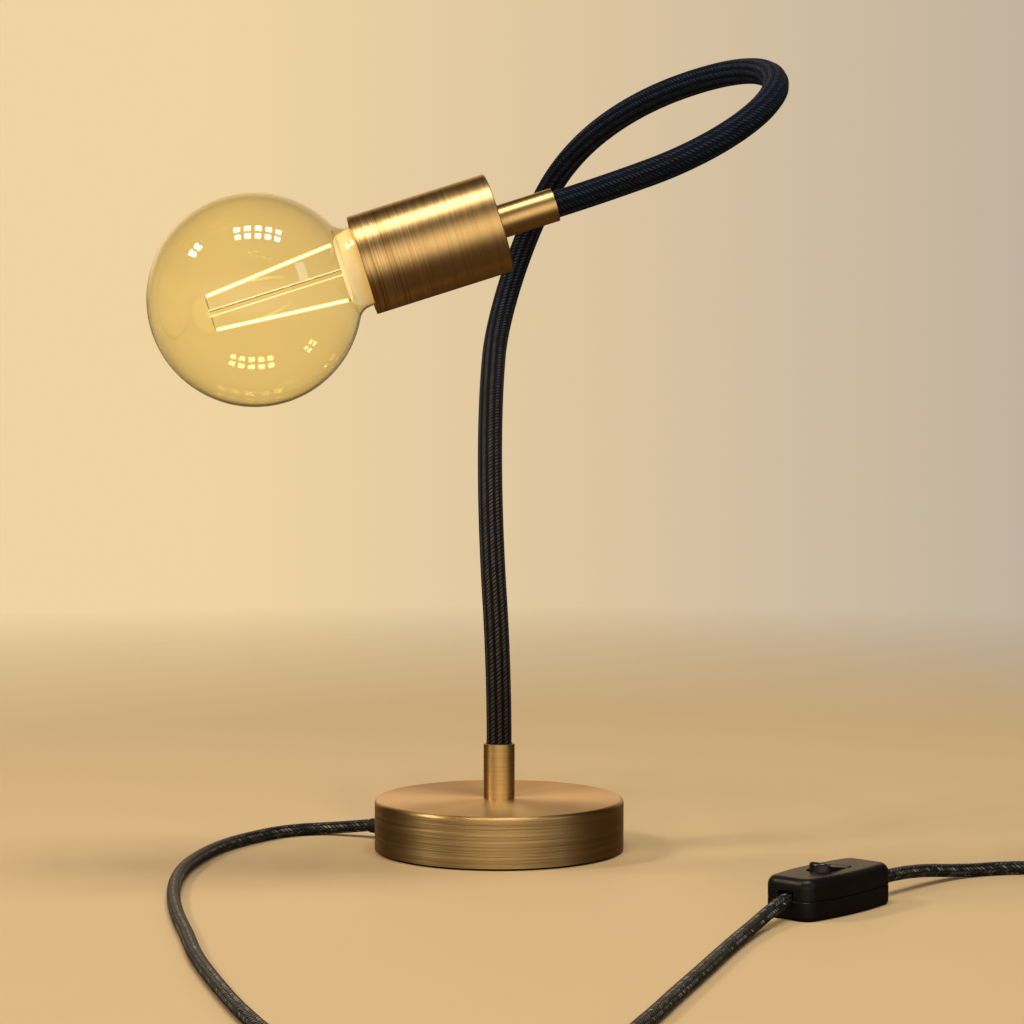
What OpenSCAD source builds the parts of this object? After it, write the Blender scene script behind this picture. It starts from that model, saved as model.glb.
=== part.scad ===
// Table lamp with a flexible textile-covered arm, a round weighted base and a globe bulb.
// Millimetres. The origin is the centre of the base's underside, +Z up, and the lamp faces -Y.

/* [Base] */
// Diameter of the round base
base_d = 120; // [90:1:160]
// Height of the base above the table
base_h = 25; // [22:0.5:40]
// Wall of the turned brass shell
shell_wall = 1.5; // [1:0.1:3]
// Thickness of the shell's top
shell_top = 2; // [1.5:0.1:4]
// Radius of the shell's upper edge
edge_r = 2; // [0.5:0.1:4]
// Thickness of the foam pad under the base
pad_t = 2.5; // [1.5:0.1:4]
// Height of the shell's lower rim above the table
rim_gap = 1; // [0.5:0.1:1.4]
// Diameter of the recess under the ballast
recess_d = 40; // [30:1:60]
// Iron that is left above the recess
recess_roof = 8; // [4:0.5:9]

/* [Threaded tubes and nuts] */
// Outside diameter of the threaded tubes
nipple_d = 10; // [9:0.5:11]
// Bore of the threaded tubes
nipple_bore = 7; // [6:0.5:8]
// Width across the flats of their nuts
nut_af = 14; // [13:0.5:16]
// Thickness of their nuts
nut_t = 3; // [2:0.5:4]
// Diameter of the washer under the base's nut
washer_d = 24; // [18:1:28]
// Thickness of the washer
washer_t = 1.2; // [1:0.1:2]

/* [Ferrules] */
// Outside diameter of the two brass ferrules
ferrule_d = 15; // [14:0.5:20]
// Length of a ferrule
ferrule_len = 26.5; // [20:0.5:40]
// Depth of the socket that holds the arm
socket_len = 18.5; // [10:0.5:19]
// Clearance round the sleeve in the socket
socket_gap = 0.5; // [0.3:0.1:0.8]

/* [Arm] */
// Outside diameter of the textile sleeve
sleeve_d = 12; // [11.2:0.1:12.4]
// Thickness of the sleeve
sleeve_t = 0.7; // [0.4:0.1:1]
// Outside diameter of the steel flexible tube
hose_d = 10.2; // [9:0.1:10.2]
// Bore of the flexible tube
hose_bore = 6.4; // [6:0.1:7]
// Diameter of each of the two insulated cores
core_d = 2.2; // [1.6:0.1:2.4]
// Distance between the two cores
core_gap = 2.6; // [2.5:0.1:3]

/* [Lamp holder] */
// Outside diameter of the brass cylinder
cover_d = 45; // [43:0.5:60]
// Length of the cylinder
cover_len = 63.5; // [60:0.5:80]
// Wall of the cylinder
cover_wall = 1.2; // [0.8:0.1:1.8]
// Thickness of the cylinder's closed end
cover_back = 2.5; // [2:0.1:3.5]
// Outside diameter of the insulating holder inside
holder_d = 39; // [37:0.5:40]
// Distance of the holder's rim behind the cylinder's mouth
holder_inset = 10; // [8:0.5:14]
// Inside diameter of the threaded contact shell
shell_bore = 27.2; // [27:0.1:28]
// Length of the threaded contact shell
shell_len = 22; // [16:1:24]
// Thickness of the contact shell
shell_t = 0.6; // [0.4:0.1:0.8]

/* [Bulb] */
// Diameter of the glass globe
globe_d = 95; // [80:1:125]
// Distance from the cylinder's mouth to the globe's centre
globe_out = 49.8; // [44:0.2:60]
// Diameter of the glass neck at the cylinder's mouth
neck_d = 36.8; // [34:0.2:38]
// Thickness of the glass
glass_t = 0.8; // [0.6:0.1:1.2]
// Radius of the hollow between neck and globe
neck_fillet = 7; // [5:0.5:9]
// Diameter of the screw cap over its thread
cap_d = 26.4; // [26:0.1:26.6]
// Depth of the cap's tip behind the cylinder's mouth
cap_depth = 40.7; // [38:0.1:42]
// Distance from the cap's tip to the glass
cap_len = 27; // [25:0.5:28]
// Diameter of the glass rod in the globe
rod_d = 3; // [2:0.2:5]
// Diameter of a lit filament stick
stick_d = 2; // [1.4:0.1:2.4]
// Travel of the bulb along its axis as it is unscrewed
bulb_travel = 46; // [42:1:60]

/* [Switch on the cord] */
// Length of the switch
switch_len = 62; // [56:1:80]
// Width of the switch at its middle
switch_w = 29; // [27:0.5:36]
// Width of the switch at its ends
switch_end_w = 25; // [22:0.5:27]
// Height of the switch
switch_h = 18; // [17:0.5:22]
// Height of the seam between its two halves
switch_seam = 8.5; // [8:0.1:9]
// Wall of the switch's case
switch_wall = 1.8; // [1.4:0.1:2.2]
// Width of the rocker
rocker_w = 11; // [9:0.5:12]
// Length of the rocker
rocker_len = 23.2; // [20:0.2:25]
// Angle of the rocker either way from level
rocker_tilt = 10; // [6:1:12]

/* [Cord and plug] */
// Diameter of the textile-covered cord
cord_d = 6; // [5:0.1:6.4]
// Angle at which the cord leaves the base, seen from above
exit_angle = 153; // [140:1:170]
// Height of the cord where it leaves the base
exit_z = 6.2; // [6:0.1:7]
// Length of the strain relief outside the base
relief_out = 11; // [8:0.5:30]
// Turns of the coil, both layers together
coil_turns = 3.25; // [2.25:1:4.25]
// Radius of the coil at the middle of its turns
coil_r = 33; // [30:1:40]
// Gap between the turns of the coil
coil_gap = 0.7; // [0.6:0.1:1]
// Length of the plug's body
plug_len = 36; // [30:1:45]
// Width of the plug's body
plug_w = 26; // [24:1:36]
// Thickness of the plug's body
plug_t = 15; // [13:0.5:18]
// Diameter of the plug's pins
pin_d = 4; // [3.8:0.1:4.8]
// Distance between the plug's pins
pin_gap = 18.6; // [17:0.1:19]
// Length of the plug's pins
pin_len = 19; // [15:0.5:20]
// Length of the plug's tapered strain relief
plug_relief = 22; // [20:1:40]

/* [Hidden] */
$fn = 64;

// Clearance between pieces that only lie beside each other
fit = 0.2;
// Depth of the plug's pins in its body
pin_in = 11.5;
// Clearance of a screw or a threaded tube in its hole
thread_gap = 0.05;
// Step in radius where a straight stretch of the arm meets a bend
seam = 0.02;
// Length by which such pieces reach into each other
lap = 0.2;

// The arm is a chain of circular bends, each as [length, bend, roll before the bend]
ARM = [
    [70, 16, 103],
    [145, 38, -22],
    [105, 107, -149],
    [125, 34, 80],
    [70, 61, -106],
    [95, 96, -3],
    [45, 19, -155]
];
LAST = len(ARM) - 1;

function roll4(a) = [[cos(a), -sin(a), 0, 0], [sin(a), cos(a), 0, 0], [0, 0, 1, 0], [0, 0, 0, 1]];
function bend_r(k) = ARM[k][0] * 180 / (PI * ARM[k][1]);
function bend4(k) = let (b = ARM[k][1], r = bend_r(k))
    [[cos(b), 0, sin(b), r * (1 - cos(b))], [0, 1, 0, 0],
    [-sin(b), 0, cos(b), r * sin(b)], [0, 0, 0, 1]];
function lift4(z) = [[1, 0, 0, 0], [0, 1, 0, 0], [0, 0, 1, z], [0, 0, 0, 1]];
function arm_at(k) = k == 0 ? lift4(base_h + ferrule_len)
    : arm_at(k - 1) * roll4(ARM[k - 1][2]) * bend4(k - 1);
function roll_sum(k) = k < 0 ? 0 : ARM[k][2] + roll_sum(k - 1);
// Direction of the line between the two cores, in the frame of bend k
function core_dir(k) = let (a = exit_angle + 90 - roll_sum(k)) [cos(a), sin(a)];

head4 = arm_at(len(ARM));
// Turn about the head's axis that puts the head's own X axis upwards
head_up = atan2(head4[2][1], head4[2][0]);

ferrule_bore = sleeve_d + 2 * socket_gap;
// Gap between the ball and the cup at each joint of the arm
joint_gap = 0.15;
// Radius of that ball
ball_r = sleeve_d / 2 + 0.5;
// Length by which the cores reach into it
core_ball = sqrt(ball_r * ball_r - pow((core_gap + core_d) / 2, 2)) - 0.05;
shell_r = base_d / 2;
inner_r = shell_r - shell_wall;
ballast_top = base_h - shell_top;
recess_top = ballast_top - recess_roof;
washer_z = recess_top - washer_t;
nut_z = washer_z - nut_t;
nipple_z = nut_z - 1;
// Channel for the cord in the ballast
channel_w = 12;
channel_top = exit_z + 6.3;
// Radius of the cores' bend below the threaded tube
core_bend = 4.5;
// Length of the cores inside the lamp holder
core_in = 7;
// Distance from the middle of the base at which the cord's cover ends
stripped_r = 30;
// Strain relief inside the base, and the cord grip behind it
flange_t = 1.5;
relief_in = 6;
grip_len = 7;
screw_d = 3;

// Places along the head's axis, from the outer end of the upper ferrule
cover_z = ferrule_len;
cover_in = cover_z + cover_back;
mouth_z = cover_z + cover_len;
holder_top = mouth_z - holder_inset;
floor_z = mouth_z - cap_depth - 3.5;
tip_z = mouth_z - cap_depth;
neck_z = tip_z + cap_len;
globe_z = mouth_z + globe_out;
neck_r = neck_d / 2;
cap_r = cap_d / 2;
globe_r = globe_d / 2;
skirt_r = cap_r + 1;
collar_z = mouth_z + 8.9;
collar_r = neck_r - glass_t - 0.3;

// Place and heading of the switch on the table
switch_at = [143, -152, 0];
switch_turn = 48;
cord_in = 9;
rocker_z = switch_h - 5.5;
lever_z = 7.2;
terminal_x = 15;
clamp_x = switch_len / 2 - cord_in + 2.5;

// Route of the cord from the base to the switch, chosen along the photographed curve
LEAD = [
    [-75, 39, 4.6],
    [-87, 42.5, 3.2],
    [-99, 38.5, 3],
    [-110, 29, 3],
    [-120, 17, 3],
    [-130, -1, 3],
    [-138, -25, 3],
    [-144, -60, 3],
    [-145, -95, 3],
    [-142, -135, 3],
    [-136, -175, 3],
    [-127, -220, 3],
    [-118, -265, 3],
    [-105, -315, 3],
    [-90, -365, 3],
    [-74, -405, 3],
    [-48, -436, 3],
    [-14, -448, 3],
    [19, -438, 3],
    [41, -411, 3],
    [54, -375, 3],
    [66, -335, 3],
    [79, -292, 3],
    [94, -242, 3],
    [105, -210, 3.8],
    [114, -189, 6]
];
// Route from the switch to the coil, past the right edge of the photograph
TAIL = [
    [175, -116, 8.6],
    [185, -104, 7.8],
    [195, -92, 6.2],
    [206, -81, 4.2],
    [218, -73, 3.1],
    [232, -68, 3],
    [250, -66, 3],
    [270, -66, 3]
];
// Where the coil's first turn begins, seen from above
coil_x = 292;
tail_end = TAIL[len(TAIL) - 1];
coil_start = [coil_x - cord_d, tail_end[1], cord_d / 2];

function turn2(p, a) = [p[0] * cos(a) - p[1] * sin(a), p[0] * sin(a) + p[1] * cos(a)];
function at_exit(r) = [r * cos(exit_angle), r * sin(exit_angle), exit_z];
function on_switch(x) =
    concat(turn2([x, 0], switch_turn) + [switch_at[0], switch_at[1]], [switch_seam]);

// Shared shapes

module tube(d, bore, h) {
    difference() {
        cylinder(d = d, h = h);
        translate([0, 0, -1]) cylinder(d = bore, h = h + 2);
    }
}

module nut(af, bore, h) {
    difference() {
        cylinder(d = af / cos(30), h = h, $fn = 6);
        translate([0, 0, -1]) cylinder(d = bore, h = h + 2);
    }
}

// Quarter round from angle a0 to a1 about a centre, as points
function arc2(c, r, a0, a1, n) =
    [for (i = [0:n]) let (a = a0 + (a1 - a0) * i / n) c + r * [cos(a), sin(a)]];

// A round bar between two points
module bar(p, q, r) {
    v = q - p;
    l = norm(v);
    translate(p) rotate([0, acos(v[2] / l), atan2(v[1], v[0])]) cylinder(r = r, h = l, $fn = 24);
}

// Closed mesh swept along centre points, sides counted round each ring
function unit(v) = v / norm(v);
function heading(p, i) = unit(p[min(i + 1, len(p) - 1)] - p[max(i - 1, 0)]);
function ring(c, t, r, n) = let (s = unit(cross([0, 0, 1], t)), u = cross(t, s))
    [for (j = [0:n - 1]) let (a = 360 * (j + 0.5) / n) c + r * (cos(a) * s + sin(a) * u)];
module sweep(p, r, n) {
    m = len(p);
    pts = [for (i = [0:m - 1]) each ring(p[i], heading(p, i), r, n)];
    wall = [for (i = [0:m - 2], j = [0:n - 1]) let (a = i * n + j, b = i * n + (j + 1) % n)
        each [[a, b, b + n], [a, b + n, a + n]]];
    start = [for (j = [1:n - 2]) [0, j + 1, j]];
    stop = [for (j = [1:n - 2]) [(m - 1) * n, (m - 1) * n + j, (m - 1) * n + j + 1]];
    polyhedron(points = pts, faces = concat(wall, start, stop), convexity = 10);
}

// Smooth curve through route points, n steps from each to the next
function between(a, b, c, d, t) = 0.5 * (2 * b + (c - a) * t + (2 * a - 5 * b + 4 * c - d) * t * t
    + (3 * b - a - 3 * c + d) * t * t * t);
function smooth(p, n) = let (m = len(p) - 1) concat(
    [for (i = [0:m - 1], k = [0:n - 1])
        between(p[max(i - 1, 0)], p[i], p[i + 1], p[min(i + 2, m)], k / n)],
    [p[m]]);
function path_len(p, i = 0) = i >= len(p) - 1 ? 0 : norm(p[i + 1] - p[i]) + path_len(p, i + 1);

// Base

module base_shell() {
    profile = concat(
        [[0, ballast_top], [inner_r, ballast_top], [inner_r, rim_gap], [shell_r, rim_gap]],
        arc2([shell_r - edge_r, base_h - edge_r], edge_r, 0, 90, 8),
        [[0, base_h]]);
    color("#b8924a") difference() {
        rotate_extrude() polygon(profile);
        translate([0, 0, ballast_top - 1]) cylinder(d = nipple_d + 2 * fit, h = shell_top + 2);
        at_gland() translate([0, 0, inner_r - 3]) cylinder(d = gland_hole, h = shell_wall + 8);
    }
}

// Hole in the shell for the cord's strain relief
gland_hole = 8.4;

module at_gland() rotate([0, 0, exit_angle]) translate([0, 0, exit_z]) rotate([0, 90, 0]) children();

module base_ballast() {
    color("#4a4a4c") difference() {
        translate([0, 0, pad_t]) cylinder(r = inner_r - fit, h = ballast_top - pad_t);
        translate([0, 0, pad_t - 1]) cylinder(d = recess_d, h = recess_top - pad_t + 1);
        translate([0, 0, recess_top - 1]) cylinder(d = nipple_d + 2, h = recess_roof + 2);
        rotate([0, 0, exit_angle]) translate([0, -channel_w / 2, pad_t - 1])
            cube([base_d, channel_w, channel_top - pad_t + 1]);
    }
}

module base_pad() {
    color("#1c1b1a") cylinder(r = inner_r - 0.5, h = pad_t);
}

module stem_nipple() {
    color("#a8894d") translate([0, 0, nipple_z])
        tube(nipple_d, nipple_bore, base_h + ferrule_len - socket_len - 0.3 - nipple_z);
}

module stem_nut() {
    color("#c9c7c0") {
        translate([0, 0, washer_z]) tube(washer_d, nipple_d + 2 * fit, washer_t);
        translate([0, 0, nut_z]) nut(nut_af, nipple_d + 2 * thread_gap, nut_t);
    }
}

// One ferrule, its threaded end at the origin and its socket upwards
module ferrule() {
    color("#c39a4e") difference() {
        cylinder(d = ferrule_d, h = ferrule_len);
        translate([0, 0, -1]) cylinder(d = nipple_d + 2 * thread_gap, h = ferrule_len);
        translate([0, 0, ferrule_len - socket_len]) cylinder(d = ferrule_bore, h = socket_len + 1);
    }
}

module lower_ferrule() translate([0, 0, base_h]) ferrule();

// Strain relief: a flange and a taper inside the shell, a bead and a taper outside
module cord_gland() {
    inside = inner_r - 0.5;
    outside = shell_r + 0.1;
    bore = cord_d / 2 + fit / 2;
    neck = gland_hole / 2 - fit;
    flange = neck + 1.3;
    bead = neck + 0.9;
    profile = [
        [bore, inside - flange_t - relief_in],
        [bore + 0.8, inside - flange_t - relief_in],
        [bore + 0.8, inside - flange_t],
        [flange, inside - flange_t],
        [flange, inside],
        [neck, inside],
        [neck, outside],
        [bead, outside],
        [bead, outside + 1.4],
        [bead - 0.8, outside + 1.8],
        [bore + 0.4, shell_r + relief_out],
        [bore, shell_r + relief_out]
    ];
    color("#181818") difference() {
        at_gland() rotate_extrude() polygon(profile);
        translate([0, 0, pad_t + 0.1 - base_h]) cylinder(r = inner_r, h = base_h);
    }
}

grip_r = inner_r - 0.5 - flange_t - relief_in - 0.3 - grip_len;
module at_grip_screw() translate(at_exit(grip_r + grip_len / 2)) children();

module cord_grip() {
    color("#d8d6cf") difference() {
        rotate([0, 0, exit_angle]) translate([grip_r, -channel_w / 2 + fit, pad_t + 0.1])
            cube([grip_len, channel_w - 2 * fit, channel_top - pad_t - 0.3]);
        at_gland() translate([0, 0, grip_r - 1]) cylinder(d = cord_d + fit, h = grip_len + 2);
        at_grip_screw() cylinder(d = screw_d + 2 * thread_gap, h = channel_top);
    }
}

module grip_screw() {
    len = channel_top - exit_z - cord_d / 2 - 0.4;
    color("#b9b6ae") at_grip_screw() translate([0, 0, cord_d / 2 + 0.15]) difference() {
        cylinder(d = screw_d, h = len);
        translate([-screw_d, -0.25, len - 0.5]) cube([2 * screw_d, 0.5, 2]);
    }
}

// Arm

module at_bend(k) multmatrix(arm_at(k) * roll4(ARM[k][2])) children();
module at_head() multmatrix(head4 * roll4(head_up)) children();

// Round bar from the origin along +Z that curves towards +X, its section off the centre line
// by two distances
module curved(r, angle, d, bore = 0, off = [0, 0]) {
    translate([r, 0, 0]) rotate([90, 0, 180]) rotate_extrude(angle = angle)
        translate([r - off[0], off[1]]) difference() {
            circle(d = d);
            if (bore > 0) circle(d = bore);
        }
}

// At each joint one stretch ends in a ball about the joint's centre and the next begins as its cup
module ball_end(d, bore) {
    r = d / 2 - seam;
    b = bore / 2 + seam;
    rotate_extrude() polygon(concat([[b, -lap], [r, -lap]],
        arc2([0, 0], ball_r, acos(r / ball_r), acos(b / ball_r), 5)));
}

module stretch(k, d, bore, in_socket) {
    difference() {
        at_bend(k) curved(bend_r(k), ARM[k][1], d, bore);
        if (k > 0) multmatrix(arm_at(k)) sphere(r = ball_r + joint_gap);
    }
    if (k < LAST) multmatrix(arm_at(k + 1)) rotate([0, 0, 45]) ball_end(d, bore);
    if (k == 0) multmatrix(arm_at(0) * lift4(-in_socket)) stub(d, bore, in_socket);
    if (k == LAST) at_head() translate([0, 0, -lap]) stub(d, bore, in_socket);
}

// Straight end of the arm, which sits in a ferrule
module stub(d, bore, in_socket) tube(d - 2 * seam, bore + 2 * seam, in_socket + lap);

module sleeve(k) color("#17161a") stretch(k, sleeve_d, sleeve_d - 2 * sleeve_t, socket_len - 2);
module hose(k) color("#8d8f92") stretch(k, hose_d, hose_bore, socket_len - fit);

// The two insulated cores
module cores(k) {
    turn = (ball_r + 2 * joint_gap) / bend_r(k) * 180 / PI;
    first = k == 0 ? 0 : turn;
    for (side = [-1, 1]) {
        off = side * core_gap / 2 * core_dir(k);
        color(side < 0 ? "#6b4326" : "#2c4f8a") {
            at_bend(k) translate([bend_r(k), 0, 0]) rotate([0, first, 0]) translate([-bend_r(k), 0, 0])
                curved(bend_r(k), ARM[k][1] - first, core_d, 0, off);
            multmatrix(arm_at(k + 1)) translate([off[0], off[1], -lap])
                cylinder(d = core_d - 2 * seam, h = lap + (k < LAST ? core_ball : cover_in + core_in));
            if (k == 0) core_root(side);
        }
    }
}

// A core from the stripped cord in the base, round its bend and up the threaded tube
module core_root(side) {
    rise = exit_z + core_bend;
    d = core_d - 2 * seam;
    rotate([0, 0, exit_angle]) translate([0, side * core_gap / 2, 0]) {
        translate([0, 0, rise - lap]) cylinder(d = d, h = base_h + ferrule_len - rise + 2 * lap);
        translate([core_bend, 0, exit_z]) rotate([0, -90, 0]) curved(core_bend, 90, core_d);
        translate([core_bend - lap, 0, exit_z]) rotate([0, 90, 0])
            cylinder(d = d, h = stripped_r - core_bend + lap);
    }
}

// Lamp holder

module upper_ferrule() at_head() translate([0, 0, ferrule_len]) mirror([0, 0, 1]) ferrule();

module holder_cover() {
    r = cover_d / 2;
    profile = concat(
        [[0, cover_z]],
        [[r - 0.5, cover_z], [r, cover_z + 0.5], [r, mouth_z - 0.3], [r - 0.3, mouth_z]],
        [[r - cover_wall, mouth_z], [r - cover_wall, cover_in], [0, cover_in]]);
    color("#b8924a") at_head() difference() {
        rotate_extrude() polygon(profile);
        translate([0, 0, cover_z - 1]) cylinder(d = nipple_d + 2 * thread_gap, h = cover_back + 2);
    }
}

module head_nipple() {
    start = socket_len + 0.3;
    color("#a8894d") at_head() translate([0, 0, start])
        tube(nipple_d, nipple_bore, cover_in + nut_t + 1 - start);
}

module head_nut() {
    color("#c9c7c0") at_head() translate([0, 0, cover_in])
        nut(nut_af, nipple_d + 2 * thread_gap, nut_t);
}

module holder_body() {
    r = holder_d / 2;
    cavity = shell_bore / 2 + shell_t + 0.2;
    color("#2a2523") at_head() difference() {
        translate([0, 0, cover_in]) cylinder(r = r, h = holder_top - cover_in);
        translate([0, 0, cover_in - 1]) cylinder(d = nut_af / cos(30) + 2, h = nut_t + 3);
        translate([0, 0, floor_z]) cylinder(r = cavity, h = holder_top);
        translate([0, 0, neck_z - 7]) cylinder(r = neck_r - 1.2, h = holder_top);
        rotate([0, 0, core_turn]) for (side = [-1, 1]) translate([side * core_gap / 2, 0, cover_in - 1])
            cylinder(d = core_d + fit, h = core_in + 1.5);
        for (side = [-1, 1]) translate([side * screw_x, 0, floor_z - 6])
            cylinder(d = screw_d + 2 * thread_gap, h = 7);
    }
}

// Distance of the holder's two terminal screws from its middle
screw_x = 9.5;
// Direction of the pair of cores in the head's upright frame
core_turn = atan2(core_dir(LAST)[1], core_dir(LAST)[0]) - head_up;

module contact_shell() {
    color("#b9a26a") at_head() translate([0, 0, floor_z + 5.5])
        tube(shell_bore + 2 * shell_t, shell_bore, shell_len);
}

// Springy strips on the holder's floor, each held by a screw
module strip(points) rotate([90, 0, 0]) translate([0, 0, -2.5]) linear_extrude(5) polygon(points);

module centre_contact() {
    lift = tip_z - floor_z - 0.3;
    color("#c9a45a") at_head() translate([0, 0, floor_z]) difference() {
        strip([[-12.8, 0], [-6, 0], [-2, lift - 0.4], [3, lift - 0.4], [3, lift], [-2.2, lift],
            [-6.2, 0.4], [-12.8, 0.4]]);
        translate([-screw_x, 0, -1]) cylinder(d = screw_d + fit, h = 3);
    }
}

module side_contact() {
    r = shell_bore / 2 + 0.1;
    color("#c9a45a") at_head() translate([0, 0, floor_z]) difference() {
        strip([[6.5, 0], [r + 0.4, 0], [r + 0.4, 5.4], [r, 5.4], [r, 0.4], [6.5, 0.4]]);
        translate([screw_x, 0, -1]) cylinder(d = screw_d + fit, h = 3);
    }
}

module screw(d, len, head_d, head_h) {
    difference() {
        union() {
            translate([0, 0, -len]) cylinder(d = d, h = len);
            cylinder(d = head_d, h = head_h);
        }
        translate([-head_d, -0.3, head_h / 2]) cube([2 * head_d, 0.6, head_h]);
    }
}

module terminal_screws() {
    color("#b9b6ae") at_head() for (side = [-1, 1])
        translate([side * screw_x, 0, floor_z + 0.4]) screw(screw_d, 5.5, 5, 1.4);
}

// Bulb, along the head's axis

// Outside of the glass from the cap to the globe, grown inwards by a distance
function neck_points(off) = let (
        r = neck_r - off,
        low = skirt_r - off,
        big = globe_r - off,
        f = neck_fillet + off,
        cx = r + f,
        reach = sqrt((big + f) * (big + f) - cx * cx),
        cz = globe_z - reach,
        a1 = 180 - atan2(reach, cx),
        foot = [low + 0.2, neck_z + 2],
        rise = [r, cz] - foot)
    concat([[low, neck_z]],
        [for (i = [0:4]) let (t = i / 4) foot + [rise[0] * (1 - (1 - t) * (1 - t)), rise[1] * t]],
        arc2([cx, cz], f, 177, a1, 5));

module glass_body(off) {
    p = neck_points(off);
    last = p[len(p) - 1];
    translate([0, 0, globe_z]) sphere(r = globe_r - off, $fn = 96);
    rotate_extrude() polygon(concat([[0, neck_z]], p, [[0, last[1]]]));
}

module bulb_glass() {
    color("#d9a441", 0.4) at_head() difference() {
        glass_body(0);
        glass_body(glass_t);
        translate([0, 0, neck_z - 1]) cylinder(r = skirt_r - glass_t, h = 1.5);
    }
}

module bulb_collar() {
    wall = 1.2;
    hole = rod_d / 2 + 0.4;
    color("#f3dca6") at_head() rotate_extrude() polygon(concat(
        [[collar_r - wall, mouth_z - 1], [collar_r, mouth_z - 1], [collar_r, mouth_z + 2]],
        arc2([collar_r - 4.2, collar_z - 3.6], 3.6, 30, 90, 4),
        [[hole, collar_z], [hole, collar_z - wall], [collar_r - 4 - wall, collar_z - wall],
            [collar_r - wall, mouth_z + 2.5]]));
}

module bulb_stem() {
    top = globe_z + 21;
    color("#f2ead2", 0.6) at_head() {
        translate([0, 0, mouth_z - 6]) cylinder(d = rod_d, h = top - mouth_z + 6);
        translate([0, 0, neck_z + 0.5])
            cylinder(r1 = skirt_r - glass_t - 0.3, r2 = rod_d / 2, h = mouth_z - 6 - neck_z);
    }
}

stick_near = [12.8, 0, collar_z + 1.6];
stick_far = [7.7, 0, globe_z + 19.8];
module bulb_filaments() {
    color("#ffd978") at_head() for (side = [0, 180])
        rotate([0, 0, side]) bar(stick_near, stick_far, stick_d / 2);
}

module bulb_leads() {
    tip = [rod_d / 2, 0, globe_z + 20.4];
    along = unit(stick_far - stick_near);
    wire_r = 0.3;
    color("#7c776c") at_head() for (side = [0, 180]) rotate([0, 0, side]) {
        bar([stick_near[0] + 0.2, 0, collar_z + 0.1], stick_near - 0.25 * along, wire_r);
        bar(tip + [0.4, 0, 0], stick_far + 0.35 * along + [0, 0, 0.3], wire_r);
    }
}

module bulb_cap() {
    base = tip_z + 5;
    pitch = 3.6;
    crests = 5;
    depth = 0.45;
    inner = cap_r - 1.5;
    last = base + 1.5 + crests * pitch;
    thread = [for (i = [0:crests * 8])
        [cap_r - depth + depth * cos(i * 45 + 180), base + 1.5 + i * pitch / 8]];
    color("#c9a45a") at_head() rotate_extrude() polygon(concat(
        [[cap_r - 3, base], [inner - 0.1, base]],
        thread,
        [[cap_r + 0.6, last + 1.2], [skirt_r, neck_z], [skirt_r - glass_t, neck_z],
            [inner, last - 0.5], [inner, base + 1.6], [cap_r - 3, base + 0.6]]));
}

module bulb_insulator() {
    color("#1d1a22") at_head() translate([0, 0, tip_z + 1]) cylinder(r1 = 6, r2 = cap_r - 2, h = 4);
}

module bulb_contact() {
    color("#c8c6be") at_head() translate([0, 0, tip_z]) cylinder(r1 = 3.8, r2 = 4.8, h = 1);
}

// Driver board with its round capacitor
module bulb_driver() {
    w = 2 * (cap_r - 1.5) - 1;
    board_t = 1.2;
    at_head() {
        color("#2f6b4a") translate([-w / 2, -board_t / 2, tip_z + 7]) cube([w, board_t, 12]);
        color("#22222a") translate([3, board_t / 2, tip_z + 13]) rotate([-90, 0, 0])
            cylinder(d = 6, h = 4.5);
    }
}

// Switch on the cord

module at_switch() translate(switch_at) rotate([0, 0, switch_turn]) children();

// Plan of the case, drawn in by a distance: round corners and sides that swell to the middle
function mirror_x(p) = [-p[0], p[1]];
function case_plan(inset) = let (
        r = 6 - min(inset, 4),
        x = switch_len / 2 - inset - r,
        y = switch_end_w / 2 - inset,
        swell = (switch_w - switch_end_w) / 2,
        quarter = arc2([x, y - r], r, 0, 85, 5),
        side = [for (i = [1:11]) let (t = 1 - i / 6) [x * t, y + swell * (1 - t * t)]],
        half = concat(quarter, side, [for (i = [5:-1:0]) mirror_x(quarter[i])]))
    concat(half, [for (p = half) -p]);

module slab(z, h, inset) translate([0, 0, z]) linear_extrude(h) polygon(case_plan(inset));

// Openings for the cord in the two ends of the case
notch_w = 8;
module notches() {
    for (side = [0, 180]) rotate([0, 0, side])
        translate([switch_len / 2 - switch_wall - 1, -notch_w / 2, switch_seam - notch_w / 2])
            cube([switch_wall + 2, notch_w, notch_w]);
}

// Screws of the case, of the cord clamps and of the terminals
small_screw = 2.5;
small_hole = small_screw + 2 * thread_gap;
small_head = 4.2;
case_screw_y = 10;
clamp_y = 8;
terminal_y = 5.5;
post_d = 4.4;
clamp_z = switch_seam + cord_d / 2 + 0.1;
clamp_t = 1.5;

module at_case_screws() for (side = [-1, 1]) translate([0, side * case_screw_y, 0]) children();
module at_clamp_screws() for (side = [-1, 1], y = [-clamp_y, clamp_y])
    translate([side * clamp_x, y, 0]) children();

module switch_base() {
    post_z = switch_wall - 0.5;
    color("#1a1817") at_switch() difference() {
        union() {
            difference() {
                hull() {
                    slab(0, 0.5, 1.5);
                    slab(1.5, switch_seam - 1.5, 0);
                }
                slab(switch_wall, switch_seam, switch_wall);
                notches();
            }
            at_clamp_screws() translate([0, 0, post_z])
                cylinder(d = post_d + 0.6, h = clamp_z - 0.1 - post_z);
            at_case_screws() translate([0, 0, post_z])
                cylinder(d = post_d, h = switch_seam - switch_wall);
        }
        at_clamp_screws() translate([0, 0, switch_wall + 1]) cylinder(d = small_hole, h = switch_h);
        at_case_screws() translate([0, 0, -1]) {
            cylinder(d = small_screw + 2 * fit, h = switch_h);
            cylinder(d = small_head + 1, h = 2.4);
        }
    }
}

// Ears inside the cover that carry the rocker's cross pin
ear_y = rocker_w / 2 + 0.5;
ear_t = 2;

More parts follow.
